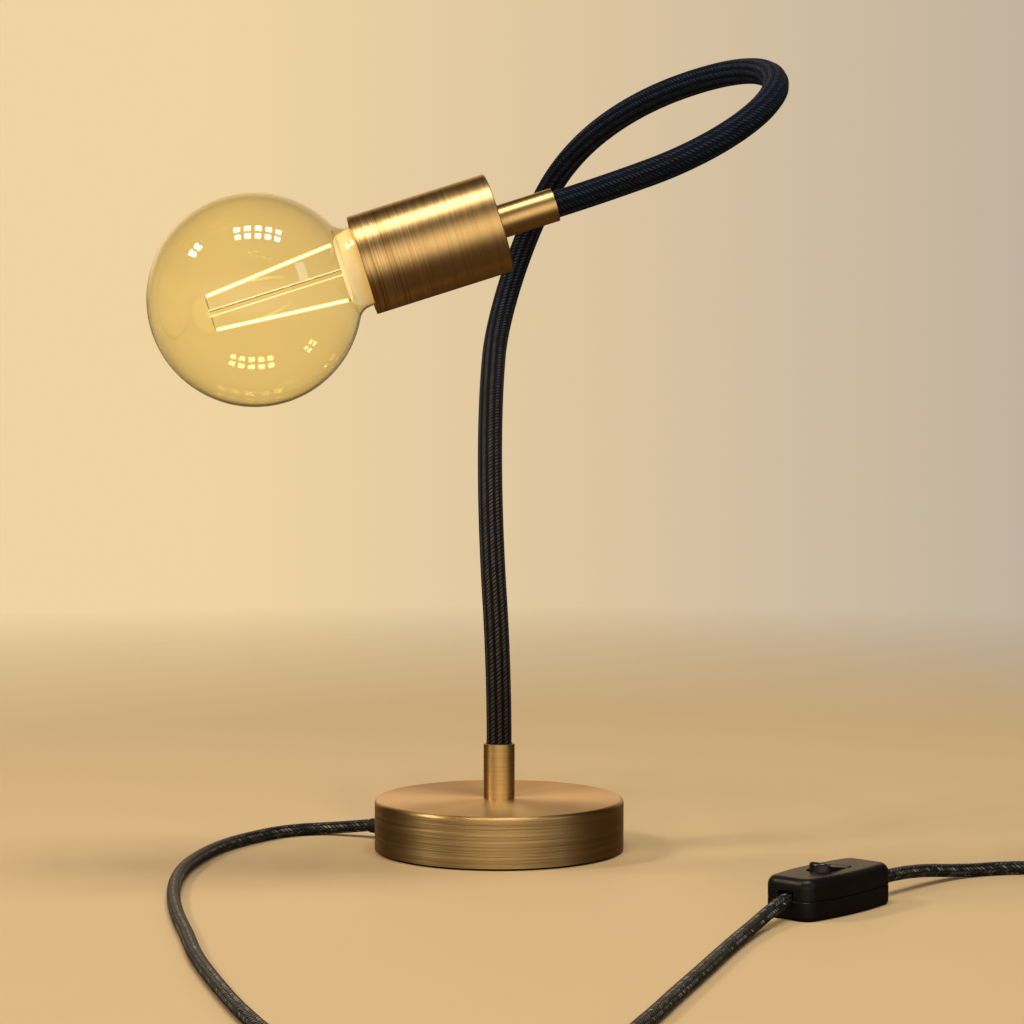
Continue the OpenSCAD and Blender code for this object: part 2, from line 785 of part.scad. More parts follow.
module switch_cover() {
    color("#1f1c1a") at_switch() difference() {
        union() {
            difference() {
                hull() {
                    slab(switch_seam + 0.1, switch_h - 4 - switch_seam, 0);
                    slab(switch_h - 1.5, 0.3, 1);
                    slab(switch_h - 0.3, 0.3, 3.6);
                }
                slab(switch_seam - 1, switch_h - switch_wall - switch_seam + 1, switch_wall);
                notches();
                slot(rocker_len + 2, rocker_w + 0.6, switch_h - 4);
            }
            for (side = [-1, 1]) translate([-2.5, side > 0 ? ear_y : -ear_y - ear_t, rocker_z - 2.5])
                cube([5, ear_t, switch_h - switch_wall - rocker_z + 3]);
            at_case_screws() translate([0, 0, switch_seam + 0.3])
                cylinder(d = post_d, h = switch_h - switch_wall - switch_seam);
        }
        translate([0, -switch_w, rocker_z]) rotate([-90, 0, 0])
            cylinder(d = pin_r * 2 + 0.1, h = switch_w + ear_y + ear_t - 0.2);
        at_case_screws() translate([0, 0, switch_seam - 1]) cylinder(d = small_hole, h = 6.5);
    }
}

module slot(l, w, z) {
    r = w / 2;
    translate([0, 0, z]) {
        for (side = [-1, 1]) translate([side * (l / 2 - r), 0, 0]) cylinder(r = r, h = 20);
        translate([-l / 2 + r, -r, 0]) cube([l - 2 * r, w, 20]);
    }
}

// Saddle-shaped rocker on its cross pin, tipped towards the lamp's side
pin_r = 1.2;
module switch_rocker() {
    l = rocker_len / 2;
    saddle = [[-l, -1.2], [l, -1.2], [l, 5.6], [l - 0.8, 7.2], [l - 2.6, 7.6], [5, 6.4], [0, 5.6],
        [-5, 6.4], [-l + 2.6, 7.6], [-l + 0.8, 7.2], [-l, 5.6]];
    pin = ear_y + ear_t - 0.3;
    color("#161414") at_switch() translate([0, 0, rocker_z]) rotate([0, rocker_tilt, 0]) {
        intersection() {
            slot(rocker_len, rocker_w, -2);
            rotate([90, 0, 0]) translate([0, 0, -rocker_w]) linear_extrude(2 * rocker_w)
                polygon(saddle);
        }
        translate([0, -pin, 0]) rotate([-90, 0, 0]) cylinder(r = pin_r, h = 2 * pin);
        translate([-1, -2, lever_z - rocker_z + 0.9]) cube([2, 4, rocker_z - lever_z - 1.5]);
    }
}

// Contact strip that rocks on a post, its two ends over the fixed contacts
lever_len = 18;
lever_w = 5;
module switch_lever() {
    color("#c9a45a") at_switch() translate([0, 0, lever_z]) rotate([0, -rocker_tilt, 0])
        translate([-lever_len / 2, -lever_w / 2, -0.3]) cube([lever_len, lever_w, 0.6]);
}

module switch_terminals() {
    drop = lever_len / 2 * sin(rocker_tilt) + 0.5;
    contact_t = 1.4;
    color("#c9a45a") at_switch() {
        for (side = [-1, 1], y = [-terminal_y, terminal_y])
            translate([side * terminal_x, y, switch_wall]) difference() {
                translate([-2.5, -2.5, 0]) cube([5, 5, 6]);
                translate([0, 0, 2]) cylinder(d = small_hole, h = 6);
            }
        translate([-1, -lever_w / 2, switch_wall]) cube([2, lever_w, lever_z - switch_wall - 0.6]);
        for (x = [-lever_len / 2, lever_len / 2 - contact_t]) translate([x, -lever_w / 2, switch_wall])
            cube([contact_t, lever_w, lever_z - switch_wall - drop]);
    }
}

module switch_screws() {
    color("#b9b6ae") at_switch() {
        for (side = [-1, 1], y = [-terminal_y, terminal_y])
            translate([side * terminal_x, y, switch_wall + 6.05]) screw(small_screw, 3.6, small_head, 1.2);
        at_clamp_screws() translate([0, 0, clamp_z + clamp_t + 0.1]) screw(small_screw, 7, small_head, 1.2);
        at_case_screws() translate([0, 0, 1.35]) mirror([0, 0, 1])
            screw(small_screw, 11, small_head + 0.4, 1.1);
    }
}

// Bars that hold the cord down at both ends of the case
module switch_clamps() {
    w = 5;
    len = 19.2;
    color("#2b2927") at_switch() for (side = [-1, 1]) translate([side * clamp_x, 0, clamp_z]) difference() {
        translate([-w / 2, -len / 2, 0]) cube([w, len, clamp_t]);
        for (y = [-clamp_y, clamp_y]) translate([0, y, -1]) cylinder(d = small_hole + fit, h = 4);
    }
}

// Cord

relief_end = shell_r + relief_out;
lead_path = smooth(concat(
    [for (r = [stripped_r, shell_r - 8, relief_end - 5, relief_end + 1]) at_exit(r)],
    LEAD,
    [on_switch(-switch_len / 2), on_switch(cord_in - switch_len / 2)]), 2);
tail_path = concat(
    [on_switch(switch_len / 2 - cord_in), on_switch(switch_len / 2)],
    TAIL,
    [coil_start]);

module cord_lead() color("#23262a") sweep(lead_path, cord_d / 2, 8);
module cord_tail() color("#23262a") sweep(tail_path, cord_d / 2, 8);

// The coil winds inwards on the table, climbs in half a turn and winds outwards on itself
coil_pitch = cord_d + coil_gap;
coil_out = coil_r + coil_pitch * coil_turns / 4;
coil_at = [coil_x, tail_end[1] + coil_out];
function coil_point(t) = let (
        r = coil_out - coil_pitch * (coil_turns / 2 - abs(t - coil_turns / 2)),
        climb = min(max((t - coil_turns / 2) * 2 + 0.5, 0), 1),
        a = 360 * t - 90)
    [coil_at[0] + r * cos(a), coil_at[1] + r * sin(a), cord_d / 2 + climb * coil_pitch];
coil_top = coil_point(coil_turns);
// From its last turn the cord comes down to the plug's height and meets the plug straight
coil_run = 18;
coil_end = [coil_top[0], coil_top[1] + coil_run + cord_d, plug_t / 2];
coil_drop = coil_end[2] - coil_top[2];
coil_path = concat([coil_start], [for (i = [0:round(coil_turns * 24)]) coil_point(i / 24)],
    [for (i = [1:3]) let (t = i / 3) coil_top + [0, coil_run * t, coil_drop * t * t * (3 - 2 * t)]],
    [coil_end]);

module cord_coil() color("#23262a") sweep(coil_path, cord_d / 2, 6);

// Least distance between stretches of the coil that are more than a third of a turn apart
coil_clear = min([for (i = [0:len(coil_path) - 10], j = [i + 8:len(coil_path) - 1])
    norm(coil_path[i] - coil_path[j])]) - cord_d;
echo(coil_least_gap = coil_clear);
echo(lead_length = path_len(lead_path), tail_length = path_len(tail_path));
echo(coil_length = path_len(coil_path));
echo(joints = [for (k = [1:LAST]) let (m = arm_at(k) * roll4(ARM[k][2]))
    [[m[0][3], m[1][3], m[2][3]], [m[0][1], m[1][1], m[2][1]], [m[0][0], m[1][0], m[2][0]]]]);
echo(head_axis = [head4[0][2], head4[1][2], head4[2][2]]);
echo(head_at = [head4[0][3], head4[1][3], head4[2][3]]);

// Flat two-pin plug at the end of the coil, its pins away from the coil
module at_plug() translate(coil_end) rotate([-90, 0, 0]) children();

module plug_body() {
    relief_r = cord_d / 2 + 1;
    color("#1b1b1b") at_plug() difference() {
        union() {
            rotate_extrude() polygon([[0, joint_gap], [relief_r, joint_gap],
                [relief_r + 2, plug_relief + 1], [0, plug_relief + 1]]);
            translate([0, 0, plug_relief]) hull() {
                plug_slice(0, 0.62, 0.8);
                plug_slice(plug_len * 0.45, 1, 0.92);
                plug_slice(plug_len - 1, 0.92, 1);
            }
        }
        at_pins(-0.5) cylinder(d = pin_d + 2 * thread_gap, h = 2 * pin_in);
    }
}

// One section of the plug's body, as shares of its width and thickness
module plug_slice(z, wide, thick) {
    r = plug_t * thick / 2;
    translate([0, 0, z]) linear_extrude(1) for (side = [-1, 1])
        translate([side * (plug_w * wide / 2 - r), 0]) circle(r = r, $fn = 32);
}

module at_pins(z) for (side = [-1, 1])
    translate([side * pin_gap / 2, 0, plug_relief + plug_len - pin_in + z]) children();

module plug_pins() {
    straight = pin_in + pin_len - 1;
    color("#c9c7c0") at_plug() at_pins(0) {
        cylinder(d = pin_d, h = straight);
        translate([0, 0, straight]) cylinder(d1 = pin_d, d2 = pin_d - 1.2, h = 1);
    }
}

base_shell();
base_ballast();
base_pad();
stem_nipple();
stem_nut();
lower_ferrule();
cord_gland();
cord_grip();
grip_screw();
for (k = [0:LAST]) {
    sleeve(k);
    hose(k);
    cores(k);
}
upper_ferrule();
holder_cover();
head_nipple();
head_nut();
holder_body();
contact_shell();
centre_contact();
side_contact();
terminal_screws();
bulb_glass();
bulb_stem();
bulb_filaments();
bulb_leads();
bulb_collar();
bulb_cap();
bulb_insulator();
bulb_contact();
bulb_driver();
switch_base();
switch_cover();
switch_rocker();
switch_lever();
switch_terminals();
switch_screws();
switch_clamps();
cord_lead();
cord_tail();
cord_coil();
plug_body();
plug_pins();
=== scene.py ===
"""Table lamp: brushed-brass base, flexible arm in a braided sleeve, globe bulb in a brass cylinder."""

import math

import bpy
import numpy as np
from mathutils import Matrix, Vector


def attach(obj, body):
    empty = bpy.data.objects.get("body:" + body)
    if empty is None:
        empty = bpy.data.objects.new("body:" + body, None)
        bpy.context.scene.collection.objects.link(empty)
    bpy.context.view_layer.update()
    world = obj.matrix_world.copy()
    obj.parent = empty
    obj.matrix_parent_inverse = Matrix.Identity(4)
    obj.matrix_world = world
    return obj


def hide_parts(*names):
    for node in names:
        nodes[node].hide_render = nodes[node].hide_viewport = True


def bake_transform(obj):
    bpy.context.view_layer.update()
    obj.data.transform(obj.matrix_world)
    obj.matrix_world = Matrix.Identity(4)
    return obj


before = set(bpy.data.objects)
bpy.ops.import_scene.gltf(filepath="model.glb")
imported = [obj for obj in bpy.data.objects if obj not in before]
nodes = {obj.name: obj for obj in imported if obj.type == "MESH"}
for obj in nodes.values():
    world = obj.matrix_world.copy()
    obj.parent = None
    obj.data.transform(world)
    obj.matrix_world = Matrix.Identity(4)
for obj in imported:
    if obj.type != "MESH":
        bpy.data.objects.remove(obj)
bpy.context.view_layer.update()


# Ballast
# A cast-iron disc that gives the base its weight. It is poured in sand, turned flat
# above and below, and has a channel for the cord.
ballast_grey = (0.055, 0.054, 0.056)
ballast_rust = (0.085, 0.055, 0.038)


def join(tree, value, socket):
    """Joins a socket to another, or gives it a plain value."""
    if isinstance(value, bpy.types.NodeSocket):
        tree.links.new(value, socket)
    elif hasattr(value, "__len__") and len(value) == 3 and socket.type == "RGBA":
        socket.default_value = (*value, 1)
    else:
        socket.default_value = value


def step(tree, kind, inputs, output=0, **settings):
    """One shader node. Its inputs are given by name or number, and one output comes back."""
    made = tree.nodes.new("ShaderNode" + kind)
    for key, value in settings.items():
        setattr(made, key, value)
    for key, value in inputs.items():
        join(tree, value, made.inputs[key])
    return made.outputs[output]


def sums(tree, operation, *values):
    return step(tree, "Math", dict(enumerate(values)), operation=operation)


def between(tree, value, low, high, start=0.0, stop=1.0):
    """A value from low to high made to run from start to stop."""
    return step(tree, "MapRange", {0: value, 1: low, 2: high, 3: start, 4: stop})


def shade(tree, share, first, second):
    """Two colours mixed by a share."""
    return step(tree, "Mix", {0: share, 6: first, 7: second}, 2, data_type="RGBA")


def noise(tree, at, scale, detail=2.0, roughness=0.5):
    return step(tree, "TexNoise", {"Vector": at, "Scale": scale, "Detail": detail, "Roughness": roughness})


def new_group(name, inputs, outputs):
    """A shader node group with named inputs and outputs."""
    tree = bpy.data.node_groups.new(name, "ShaderNodeTree")
    for label, kind, value in inputs:
        socket = tree.interface.new_socket(label, in_out="INPUT", socket_type="NodeSocket" + kind)
        if value is not None:
            socket.default_value = value
    for label in outputs:
        tree.interface.new_socket(label, in_out="OUTPUT", socket_type="NodeSocketFloat")
    return tree, tree.nodes.new("NodeGroupInput").outputs, tree.nodes.new("NodeGroupOutput").inputs


def place(tree, group, **inputs):
    """A group placed in a material."""
    made = tree.nodes.new("ShaderNodeGroup")
    made.node_tree = group
    for key, value in inputs.items():
        join(tree, value, made.inputs[key])
    return made.outputs


def new_finish(name, **plain):
    """A material whose shader has these plain values."""
    made = bpy.data.materials.new(name)
    made.use_nodes = True
    shader = made.node_tree.nodes["Principled BSDF"]
    for socket, value in plain.items():
        join(made.node_tree, value, shader.inputs[socket.replace("_", " ")])
    return made, made.node_tree, shader.inputs


def relief(tree, height, depth, strength=1.0):
    """Normals of a surface whose relief is that deep, in metres."""
    return step(tree, "Bump", {"Strength": strength, "Distance": depth, "Height": height})


def own_place(tree):
    """The place on a piece, in metres in the lamp's frame at rest."""
    return step(tree, "TexCoord", {}, "Object")


def dress(material, *names):
    """Gives CAD nodes their material."""
    for name in names:
        for slot in nodes[name].material_slots:
            slot.material = material


# Grain: fine bumps with larger soft patches among them, as on cast or moulded pieces
grain, given, out = new_group(
    "grain", [("Vector", "Vector", None), ("Size", "Float", 900.0)], ["Bumps", "Patches"])
join(grain, noise(grain, given["Vector"], given["Size"], 3.0, 0.6), out["Bumps"])
join(grain, noise(grain, given["Vector"], sums(grain, "DIVIDE", given["Size"], 14.0), 2.0), out["Patches"])


def grained(name, size, colours, rough, depth=None, spread=None, **plain):
    """A material with the grain's patches in its colour, and its bumps in its gloss and relief.

    spread is the part of the patches' range over which the first colour turns into the second.
    """
    made, tree, shader = new_finish(name, **plain)
    skin = place(tree, grain, Vector=own_place(tree), Size=size)
    patches = between(tree, skin["Patches"], *spread) if spread else skin["Patches"]
    join(tree, shade(tree, patches, *colours), shader["Base Color"])
    join(tree, between(tree, skin["Bumps"], 0.3, 0.7, *rough), shader["Roughness"])
    if depth:
        join(tree, relief(tree, skin["Bumps"], depth), shader["Normal"])
    return made


ballast_iron = grained(
    "ballast_iron", 700.0, (ballast_grey, ballast_rust), (0.45, 0.75), depth=0.0003, spread=(0.5, 0.7),
    Metallic=0.6, Specular_IOR_Level=0.4)
dress(ballast_iron, "base_ballast")


# Foam pad
# A die-cut disc of black closed-cell foam, glued under the ballast. It reaches 1 mm below
# the shell's rim and keeps the brass off what the lamp stands on.
foam, tree, shader = new_finish("foam_pad", Specular_IOR_Level=0.2, Roughness=0.95)
cells = step(tree, "TexVoronoi", {"Vector": own_place(tree), "Scale": 1600.0})
join(tree, shade(tree, cells, (0.010, 0.010, 0.010), (0.045, 0.043, 0.041)), shader["Base Color"])
join(tree, relief(tree, cells, 0.0002), shader["Normal"])
dress(foam, "base_pad")


# Base shell
# A cup turned from thick brass sheet. Its side is brushed round with a coarse belt, its top
# is turned to a fine satin, and a clear lacquer keeps it from going brown.
brass_light = (0.88, 0.61, 0.28)
brass_deep = (0.42, 0.22, 0.05)
coarse_gain = 4.5
coarse_fade = 0.025

# Turned lines: thin streaks round the Z axis of the given place, and broad bands among them
turned, given, out = new_group(
    "turned_lines",
    [("Vector", "Vector", None), ("Lines", "Float", 900.0), ("Run", "Float", 14.0)],
    ["Lines", "Bands"])
for label, share, detail in (("Lines", 1.0, 3.0), ("Bands", 0.42, 1.0)):
    fine = sums(turned, "MULTIPLY", given["Lines"], share)
    stretch = step(turned, "CombineXYZ", {0: given["Run"], 1: given["Run"], 2: fine})
    drawn = step(turned, "VectorMath", {0: given["Vector"], 1: stretch}, operation="MULTIPLY")
    join(turned, noise(turned, drawn, 1.0, detail, 0.62), out[label])

# Smudges: soft patches that handling leaves on lacquer
smudges, given, out = new_group("smudges", [("Vector", "Vector", None), ("Size", "Float", 26.0)], ["Dull"])
cloud = noise(smudges, given["Vector"], given["Size"], 4.0, 0.6)
join(smudges, between(smudges, cloud, 0.42, 0.68), out["Dull"])


def round_grain(tree, axis, foot):
    """Direction of brushing round an axis through a point, as a tangent."""
    off = step(tree, "VectorMath", {0: own_place(tree), 1: foot}, operation="SUBTRACT")
    lie = step(tree, "VectorMath", {0: axis, 1: off}, operation="CROSS_PRODUCT")
    return step(tree, "VectorTransform", {0: lie},
                vector_type="VECTOR", convert_from="OBJECT", convert_to="WORLD")


def brushed_brass(name, at, axis, foot, lines, run, depth, dull, contrast, coarse_from=None):
    """Brass brushed round an axis. at(tree) gives the place with that axis along Z.

    From the height coarse_from on, the lines stand out coarse_gain times as much.
    """
    made, tree, shader = new_finish(
        name, Metallic=1.0, Anisotropic=0.75, Anisotropic_Rotation=0.25, Coat_Weight=0.10,
        Coat_Roughness=0.25, Coat_IOR=1.45)
    spot = at(tree)
    lined = place(tree, turned, Vector=spot, Lines=lines, Run=run)
    worn = place(tree, smudges, Vector=spot)
    both = sums(tree, "ADD", sums(tree, "MULTIPLY", lined["Lines"], 0.6),
                sums(tree, "MULTIPLY", lined["Bands"], 0.4))
    both = sums(tree, "SUBTRACT", both, 0.5)
    if coarse_from:
        height = step(tree, "SeparateXYZ", {0: spot}, 2)
        gain = between(tree, height, coarse_from, coarse_from + coarse_fade, 1.0, coarse_gain)
        both = sums(tree, "MULTIPLY", both, gain)
    tone = between(tree, both, -0.7 * contrast, 0.3 * contrast)
    join(tree, shade(tree, tone, brass_deep, brass_light), shader["Base Color"])
    rough = sums(tree, "ADD", between(tree, lined["Lines"], 0.3, 0.7, dull, dull + 0.10),
                 sums(tree, "MULTIPLY", worn["Dull"], 0.05))
    join(tree, rough, shader["Roughness"])
    join(tree, relief(tree, both, depth), shader["Normal"])
    join(tree, round_grain(tree, axis, foot), shader["Tangent"])
    return made


brass_shell = brushed_brass(
    "brass_shell", own_place, (0, 0, 1), (0, 0, 0), lines=950.0, run=12.0, depth=0.00045, dull=0.35,
    contrast=0.55)
dress(brass_shell, "base_shell")


# Threaded tube, nut and washer of the base
# A thin brass tube with a fine thread stands in the ballast and carries the lower ferrule.
# A zinc-plated nut and washer clamp shell and ballast together from below.
thread_pitch = 0.001


def threaded_brass(name, at):
    made, tree, shader = new_finish(name, Metallic=1.0, Base_Color=(0.62, 0.42, 0.19))
    spot = at(tree)
    height = step(tree, "SeparateXYZ", {0: spot}, 2)
    crest = sums(tree, "PINGPONG", sums(tree, "DIVIDE", height, thread_pitch), 0.5)
    worn = place(tree, smudges, Vector=spot)
    join(tree, between(tree, worn["Dull"], 0.0, 1.0, 0.28, 0.42), shader["Roughness"])
    join(tree, relief(tree, crest, 0.0006), shader["Normal"])
    return made


dress(threaded_brass("stem_thread", own_place), "stem_nipple")

zinc = grained(
    "zinc_steel", 500.0, ((0.46, 0.46, 0.44), (0.66, 0.65, 0.60)), (0.28, 0.46), depth=0.00005,
    Metallic=1.0)
dress(zinc, "stem_nut", "grip_screw")


# Lower ferrule
# A short tube turned from brass bar, screwed on the threaded tube. The arm is glued in its
# socket. The lathe leaves fine rings, and the surface is brighter than the base.
ferrule_turning = {"lines": 1500.0, "run": 5.0, "depth": 0.00004, "dull": 0.37, "contrast": 0.8}
brass_ferrule = brushed_brass("brass_ferrule", own_place, (0, 0, 1), (0, 0, 0), **ferrule_turning)
dress(brass_ferrule, "lower_ferrule")


# Cord gland and cord grip
# The gland is moulded rubber: a flange behind the shell, a bead before it and a taper on
# the cord. The grip is a plastic block in the ballast's channel with a screw on the cord.
rubber = grained(
    "gland_rubber", 1800.0, ((0.008, 0.008, 0.008), (0.020, 0.019, 0.018)), (0.55, 0.75), depth=0.00006,
    Specular_IOR_Level=0.3)
dress(rubber, "cord_gland")

grip_white = grained(
    "grip_plastic", 1200.0, ((0.52, 0.50, 0.45), (0.62, 0.60, 0.55)), (0.42, 0.60), Specular_IOR_Level=0.45)
dress(grip_white, "cord_grip")


# Line of the arm
# The arm keeps any bend it is given. It is a chain of round bends, each with its length,
# its angle and the roll before it, from the lower ferrule's mouth to the upper one's.
arm_bends = [
    (0.070, 16, 103), (0.145, 38, -22), (0.105, 107, -149), (0.125, 34, 80),
    (0.070, 61, -106), (0.095, 96, -3), (0.045, 19, -155)]
arm_foot = 0.0515
arm_ends = list(np.cumsum([length for length, bend, roll in arm_bends]))
arm_length = arm_ends[-1]


def arm_spot(s):
    """Place and untwisted directions at a distance along the arm."""
    at = Matrix.Translation((0, 0, arm_foot + min(s, 0)))
    left = max(s, 0)
    twist = 0
    for length, bend, roll in arm_bends:
        part = min(left, length)
        angle = math.radians(bend) * part / length
        radius = length / math.radians(bend)
        twist += roll
        at = at @ Matrix.Rotation(math.radians(roll), 4, "Z")
        at = at @ Matrix.Translation((radius * (1 - math.cos(angle)), 0, radius * math.sin(angle)))
        at = at @ Matrix.Rotation(angle, 4, "Y")
        left -= part
        if left <= 0:
            break
    return at @ Matrix.Translation((0, 0, left)) @ Matrix.Rotation(math.radians(-twist), 4, "Z")


def line_of(spots):
    """Centres and the two side directions of places, as arrays."""
    all_at = np.array([[spot.col[i][:3] for i in (3, 0, 1)] for spot in spots])
    return all_at[:, 0], all_at[:, 1], all_at[:, 2]


def tube(name, line, radii, along, capped=True):
    """A round mesh along a line. Its UV map gives metres along and the share of the way round."""
    centre, side, up = line
    radii = np.asarray(radii, float)
    rings, round_n = radii.shape
    angle = np.arange(round_n) * 2 * math.pi / round_n
    out = np.cos(angle)[None, :, None] * side[:, None] + np.sin(angle)[None, :, None] * up[:, None]
    corners = (centre[:, None] + radii[:, :, None] * out).reshape(-1, 3)
    i, j = np.meshgrid(np.arange(rings - 1), np.arange(round_n), indexing="ij")
    k = (j + 1) % round_n
    faces = np.stack([i * round_n + j, i * round_n + k, (i + 1) * round_n + k, (i + 1) * round_n + j], -1)
    faces = faces.reshape(-1, 4).tolist()
    lay = [np.stack([along[i + a], (j + b) / round_n], -1) for a, b in ((0, 0), (0, 1), (1, 1), (1, 0))]
    lay = np.stack(lay, 2).reshape(-1, 2)
    if capped:
        faces += [list(range(round_n))[::-1], list(range((rings - 1) * round_n, rings * round_n))]
        lay = np.concatenate([lay, np.zeros((2 * round_n, 2))])
    mesh = bpy.data.meshes.new(name)
    mesh.from_pydata(corners.tolist(), [], faces)
    mesh.uv_layers.new(name="lay").uv.foreach_set("vector", lay.astype(np.float32).ravel())
    mesh.shade_smooth()
    for end in list(mesh.polygons)[len(faces) - 2:] if capped else []:
        end.use_smooth = False
    made = bpy.data.objects.new(name, mesh)
    bpy.context.scene.collection.objects.link(made)
    return made


# The arm's bodies meet at six joints. Each piece of hose, core and sleeve goes from the
# middle of one bend to the middle of the next.
arm_cuts = [arm_ends[k] - arm_bends[k][0] / 2 for k in range(1, 6)]
joint_reach = 0.017


def bend_at_joint(piece, k):
    """Bakes the piece's place into its mesh. The arm's places a joint's reach before and after joint k are
    worked out, but nothing uses them.
    """
    arm_spot(arm_ends[k] - joint_reach).translation
    arm_spot(arm_ends[k] + joint_reach).translation
    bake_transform(piece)


# Flexible tube
# A gooseneck of round steel wire wound on a flat strip. Friction between the two holds the
# arm in its shape. It reaches to the bottom of both sockets.
hose_turn = 0.0036
hose_end = 0.0183
hose_outer = 0.0050
hose_hollow = 0.0005
rings_a_turn = 5

hose_steel, tree, shader = new_finish("hose_steel", Metallic=1.0)
lay = step(tree, "UVMap", {}, uv_map="lay")
streak = place(tree, turned, Vector=lay, Lines=30.0, Run=300.0)
join(tree, shade(tree, streak["Lines"], (0.30, 0.30, 0.31), (0.55, 0.55, 0.56)), shader["Base Color"])
join(tree, between(tree, streak["Bands"], 0.3, 0.7, 0.25, 0.45), shader["Roughness"])

cuts = [-hose_end, *arm_cuts, arm_length + hose_end]
for k in range(6):
    count = int(round((cuts[k + 1] - cuts[k]) / hose_turn * rings_a_turn))
    along = np.linspace(cuts[k], cuts[k + 1], count + 1)
    turn = np.arange(20) / 20
    phase = (along[:, None] / hose_turn + turn[None, :]) % 1
    radii = hose_outer - hose_hollow * np.abs(2 * phase - 1) ** 1.5
    hose = tube(f"hose_piece_{k}", line_of([arm_spot(s) for s in along]), radii, along, k in (0, 5))
    hose.data.materials.append(hose_steel)
    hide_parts(f"hose_{k}", *(["hose_6"] if k == 5 else []))
    bend_at_joint(hose, k)


# Cores
# Two stranded copper wires in brown and blue plastic. They leave the cord's cover inside
# the base, turn up into the threaded tube and end at the lamp holder's screws.
core_r = 0.0011
core_apart = 0.0013
core_turn = math.radians(243)
exit_way = Vector((math.cos(math.radians(153)), math.sin(math.radians(153)), 0))
exit_height = 0.0062
root_bend = 0.0045
root_out = 0.030
core_start = 0.0155
core_end = 0.036
core_ring = 0.0025


def core_root():
    """Places of the cores from the stripped cord to the arm's foot."""
    side = Vector((math.cos(core_turn), math.sin(core_turn), 0))
    spots = []
    for reach in (root_out, 0.022, 0.014, 0.008):
        spots.append((exit_way * reach + Vector((0, 0, exit_height)), -exit_way))
    for angle in np.radians([0, 15, 30, 45, 60, 75, 90]):
        reach = root_bend * (1 - math.sin(angle))
        rise = exit_height + root_bend * (1 - math.cos(angle))
        spots.append((exit_way * reach + Vector((0, 0, rise)),
                      -exit_way * math.cos(angle) + Vector((0, 0, math.sin(angle)))))
    for height in (0.016, 0.024, 0.032):
        spots.append((Vector((0, 0, height)), Vector((0, 0, 1))))
    return [Matrix((side, ahead.cross(side), ahead)).transposed().to_4x4() for at, ahead in spots], spots


def core_line(start, stop):
    """Places of the cores between two distances along the arm, the root before them if they start it."""
    roll = Matrix.Rotation(core_turn, 4, "Z")
    in_arm = [arm_spot(s) @ roll for s in np.arange(start, stop + 1e-6, core_ring)]
    if start > 0:
        return in_arm
    facing, spots = core_root()
    return [Matrix.Translation(at) @ turn for (at, ahead), turn in zip(spots, facing)] + in_arm


for colour_name, colour, side in (("brown", (0.15, 0.055, 0.022), -1), ("blue", (0.03, 0.07, 0.24), 1)):
    paler = tuple(1.35 * c for c in colour)
    core_plastic = grained(
        f"core_{colour_name}", 700.0, (colour, paler), (0.30, 0.42), Specular_IOR_Level=0.5)
    cuts = [-core_start, *arm_cuts, arm_length + core_end]
    for k in range(6):
        centre, out, up = line_of(core_line(cuts[k], cuts[k + 1]))
        radii = np.full((len(centre), 12), core_r)
        along = np.concatenate([[0], np.cumsum(np.linalg.norm(np.diff(centre, axis=0), axis=1))])
        line = (centre + side * core_apart * out, out, up)
        core = tube(f"core_{colour_name}_{k}", line, radii, along, k in (0, 5))
        core.data.materials.append(core_plastic)
        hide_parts(f"cores_{k}", *(["cores_6"] if k == 5 else []))
        bend_at_joint(core, k)


# Sleeve
# A round braid of black polyester yarn, pulled over the flexible tube and glued in both
# ferrules. Its yarns cross in columns of short slanting stitches.
sleeve_r = 0.0060
sleeve_end = 0.0165
sleeve_columns = 22
sleeve_stitch = 0.0019
sleeve_wide = 0.70
sleeve_rib = 0.00012
sleeve_ring = 0.0014

# Braid: stitches that slant one way and the other in neighbouring columns. Wide is the share
# of the first column in each pair, and the output Column is 1 in the second.
braid, given, out = new_group(
    "braid",
    [("Vector", "Vector", None), ("Columns", "Float", 20.0), ("Stitch", "Float", 0.0018),
     ("Slant", "Float", 0.7), ("Wide", "Float", 0.5)],
    ["Height", "Yarn", "Column"])
parts = braid.nodes.new("ShaderNodeSeparateXYZ")
join(braid, given["Vector"], parts.inputs[0])
pair = sums(braid, "MULTIPLY", sums(braid, "MULTIPLY", parts.outputs[1], given["Columns"]), 0.5)
share = sums(braid, "FRACT", pair)
odd = sums(braid, "GREATER_THAN", share, given["Wide"])
column = sums(braid, "ADD", sums(braid, "MULTIPLY", sums(braid, "FLOOR", pair), 2.0), odd)
across = sums(braid, "DIVIDE", sums(braid, "SUBTRACT", share, sums(braid, "MULTIPLY", odd, given["Wide"])),
              sums(braid, "ABSOLUTE", sums(braid, "SUBTRACT", odd, given["Wide"])))
way = sums(braid, "SUBTRACT", sums(braid, "MULTIPLY", odd, 2.0), 1.0)
lean = sums(braid, "MULTIPLY", way, given["Slant"])
rise = sums(braid, "MULTIPLY", sums(braid, "SUBTRACT", across, 0.5), lean)
row = sums(braid, "ADD", sums(braid, "ADD", sums(braid, "DIVIDE", parts.outputs[0], given["Stitch"]), rise),
           sums(braid, "MULTIPLY", odd, 0.5))
swell = []
for part, power in ((across, 4.0), (sums(braid, "FRACT", row), 2.0)):
    off = sums(braid, "ABSOLUTE", sums(braid, "SUBTRACT", sums(braid, "MULTIPLY", part, 2.0), 1.0))
    swell.append(sums(braid, "SUBTRACT", 1.0, sums(braid, "POWER", off, power)))
join(braid, sums(braid, "SQRT", sums(braid, "MULTIPLY", *swell)), out["Height"])
which = step(braid, "CombineXYZ", {0: column, 1: sums(braid, "FLOOR", row)})
join(braid, step(braid, "TexWhiteNoise", {"Vector": which}), out["Yarn"])
join(braid, odd, out["Column"])

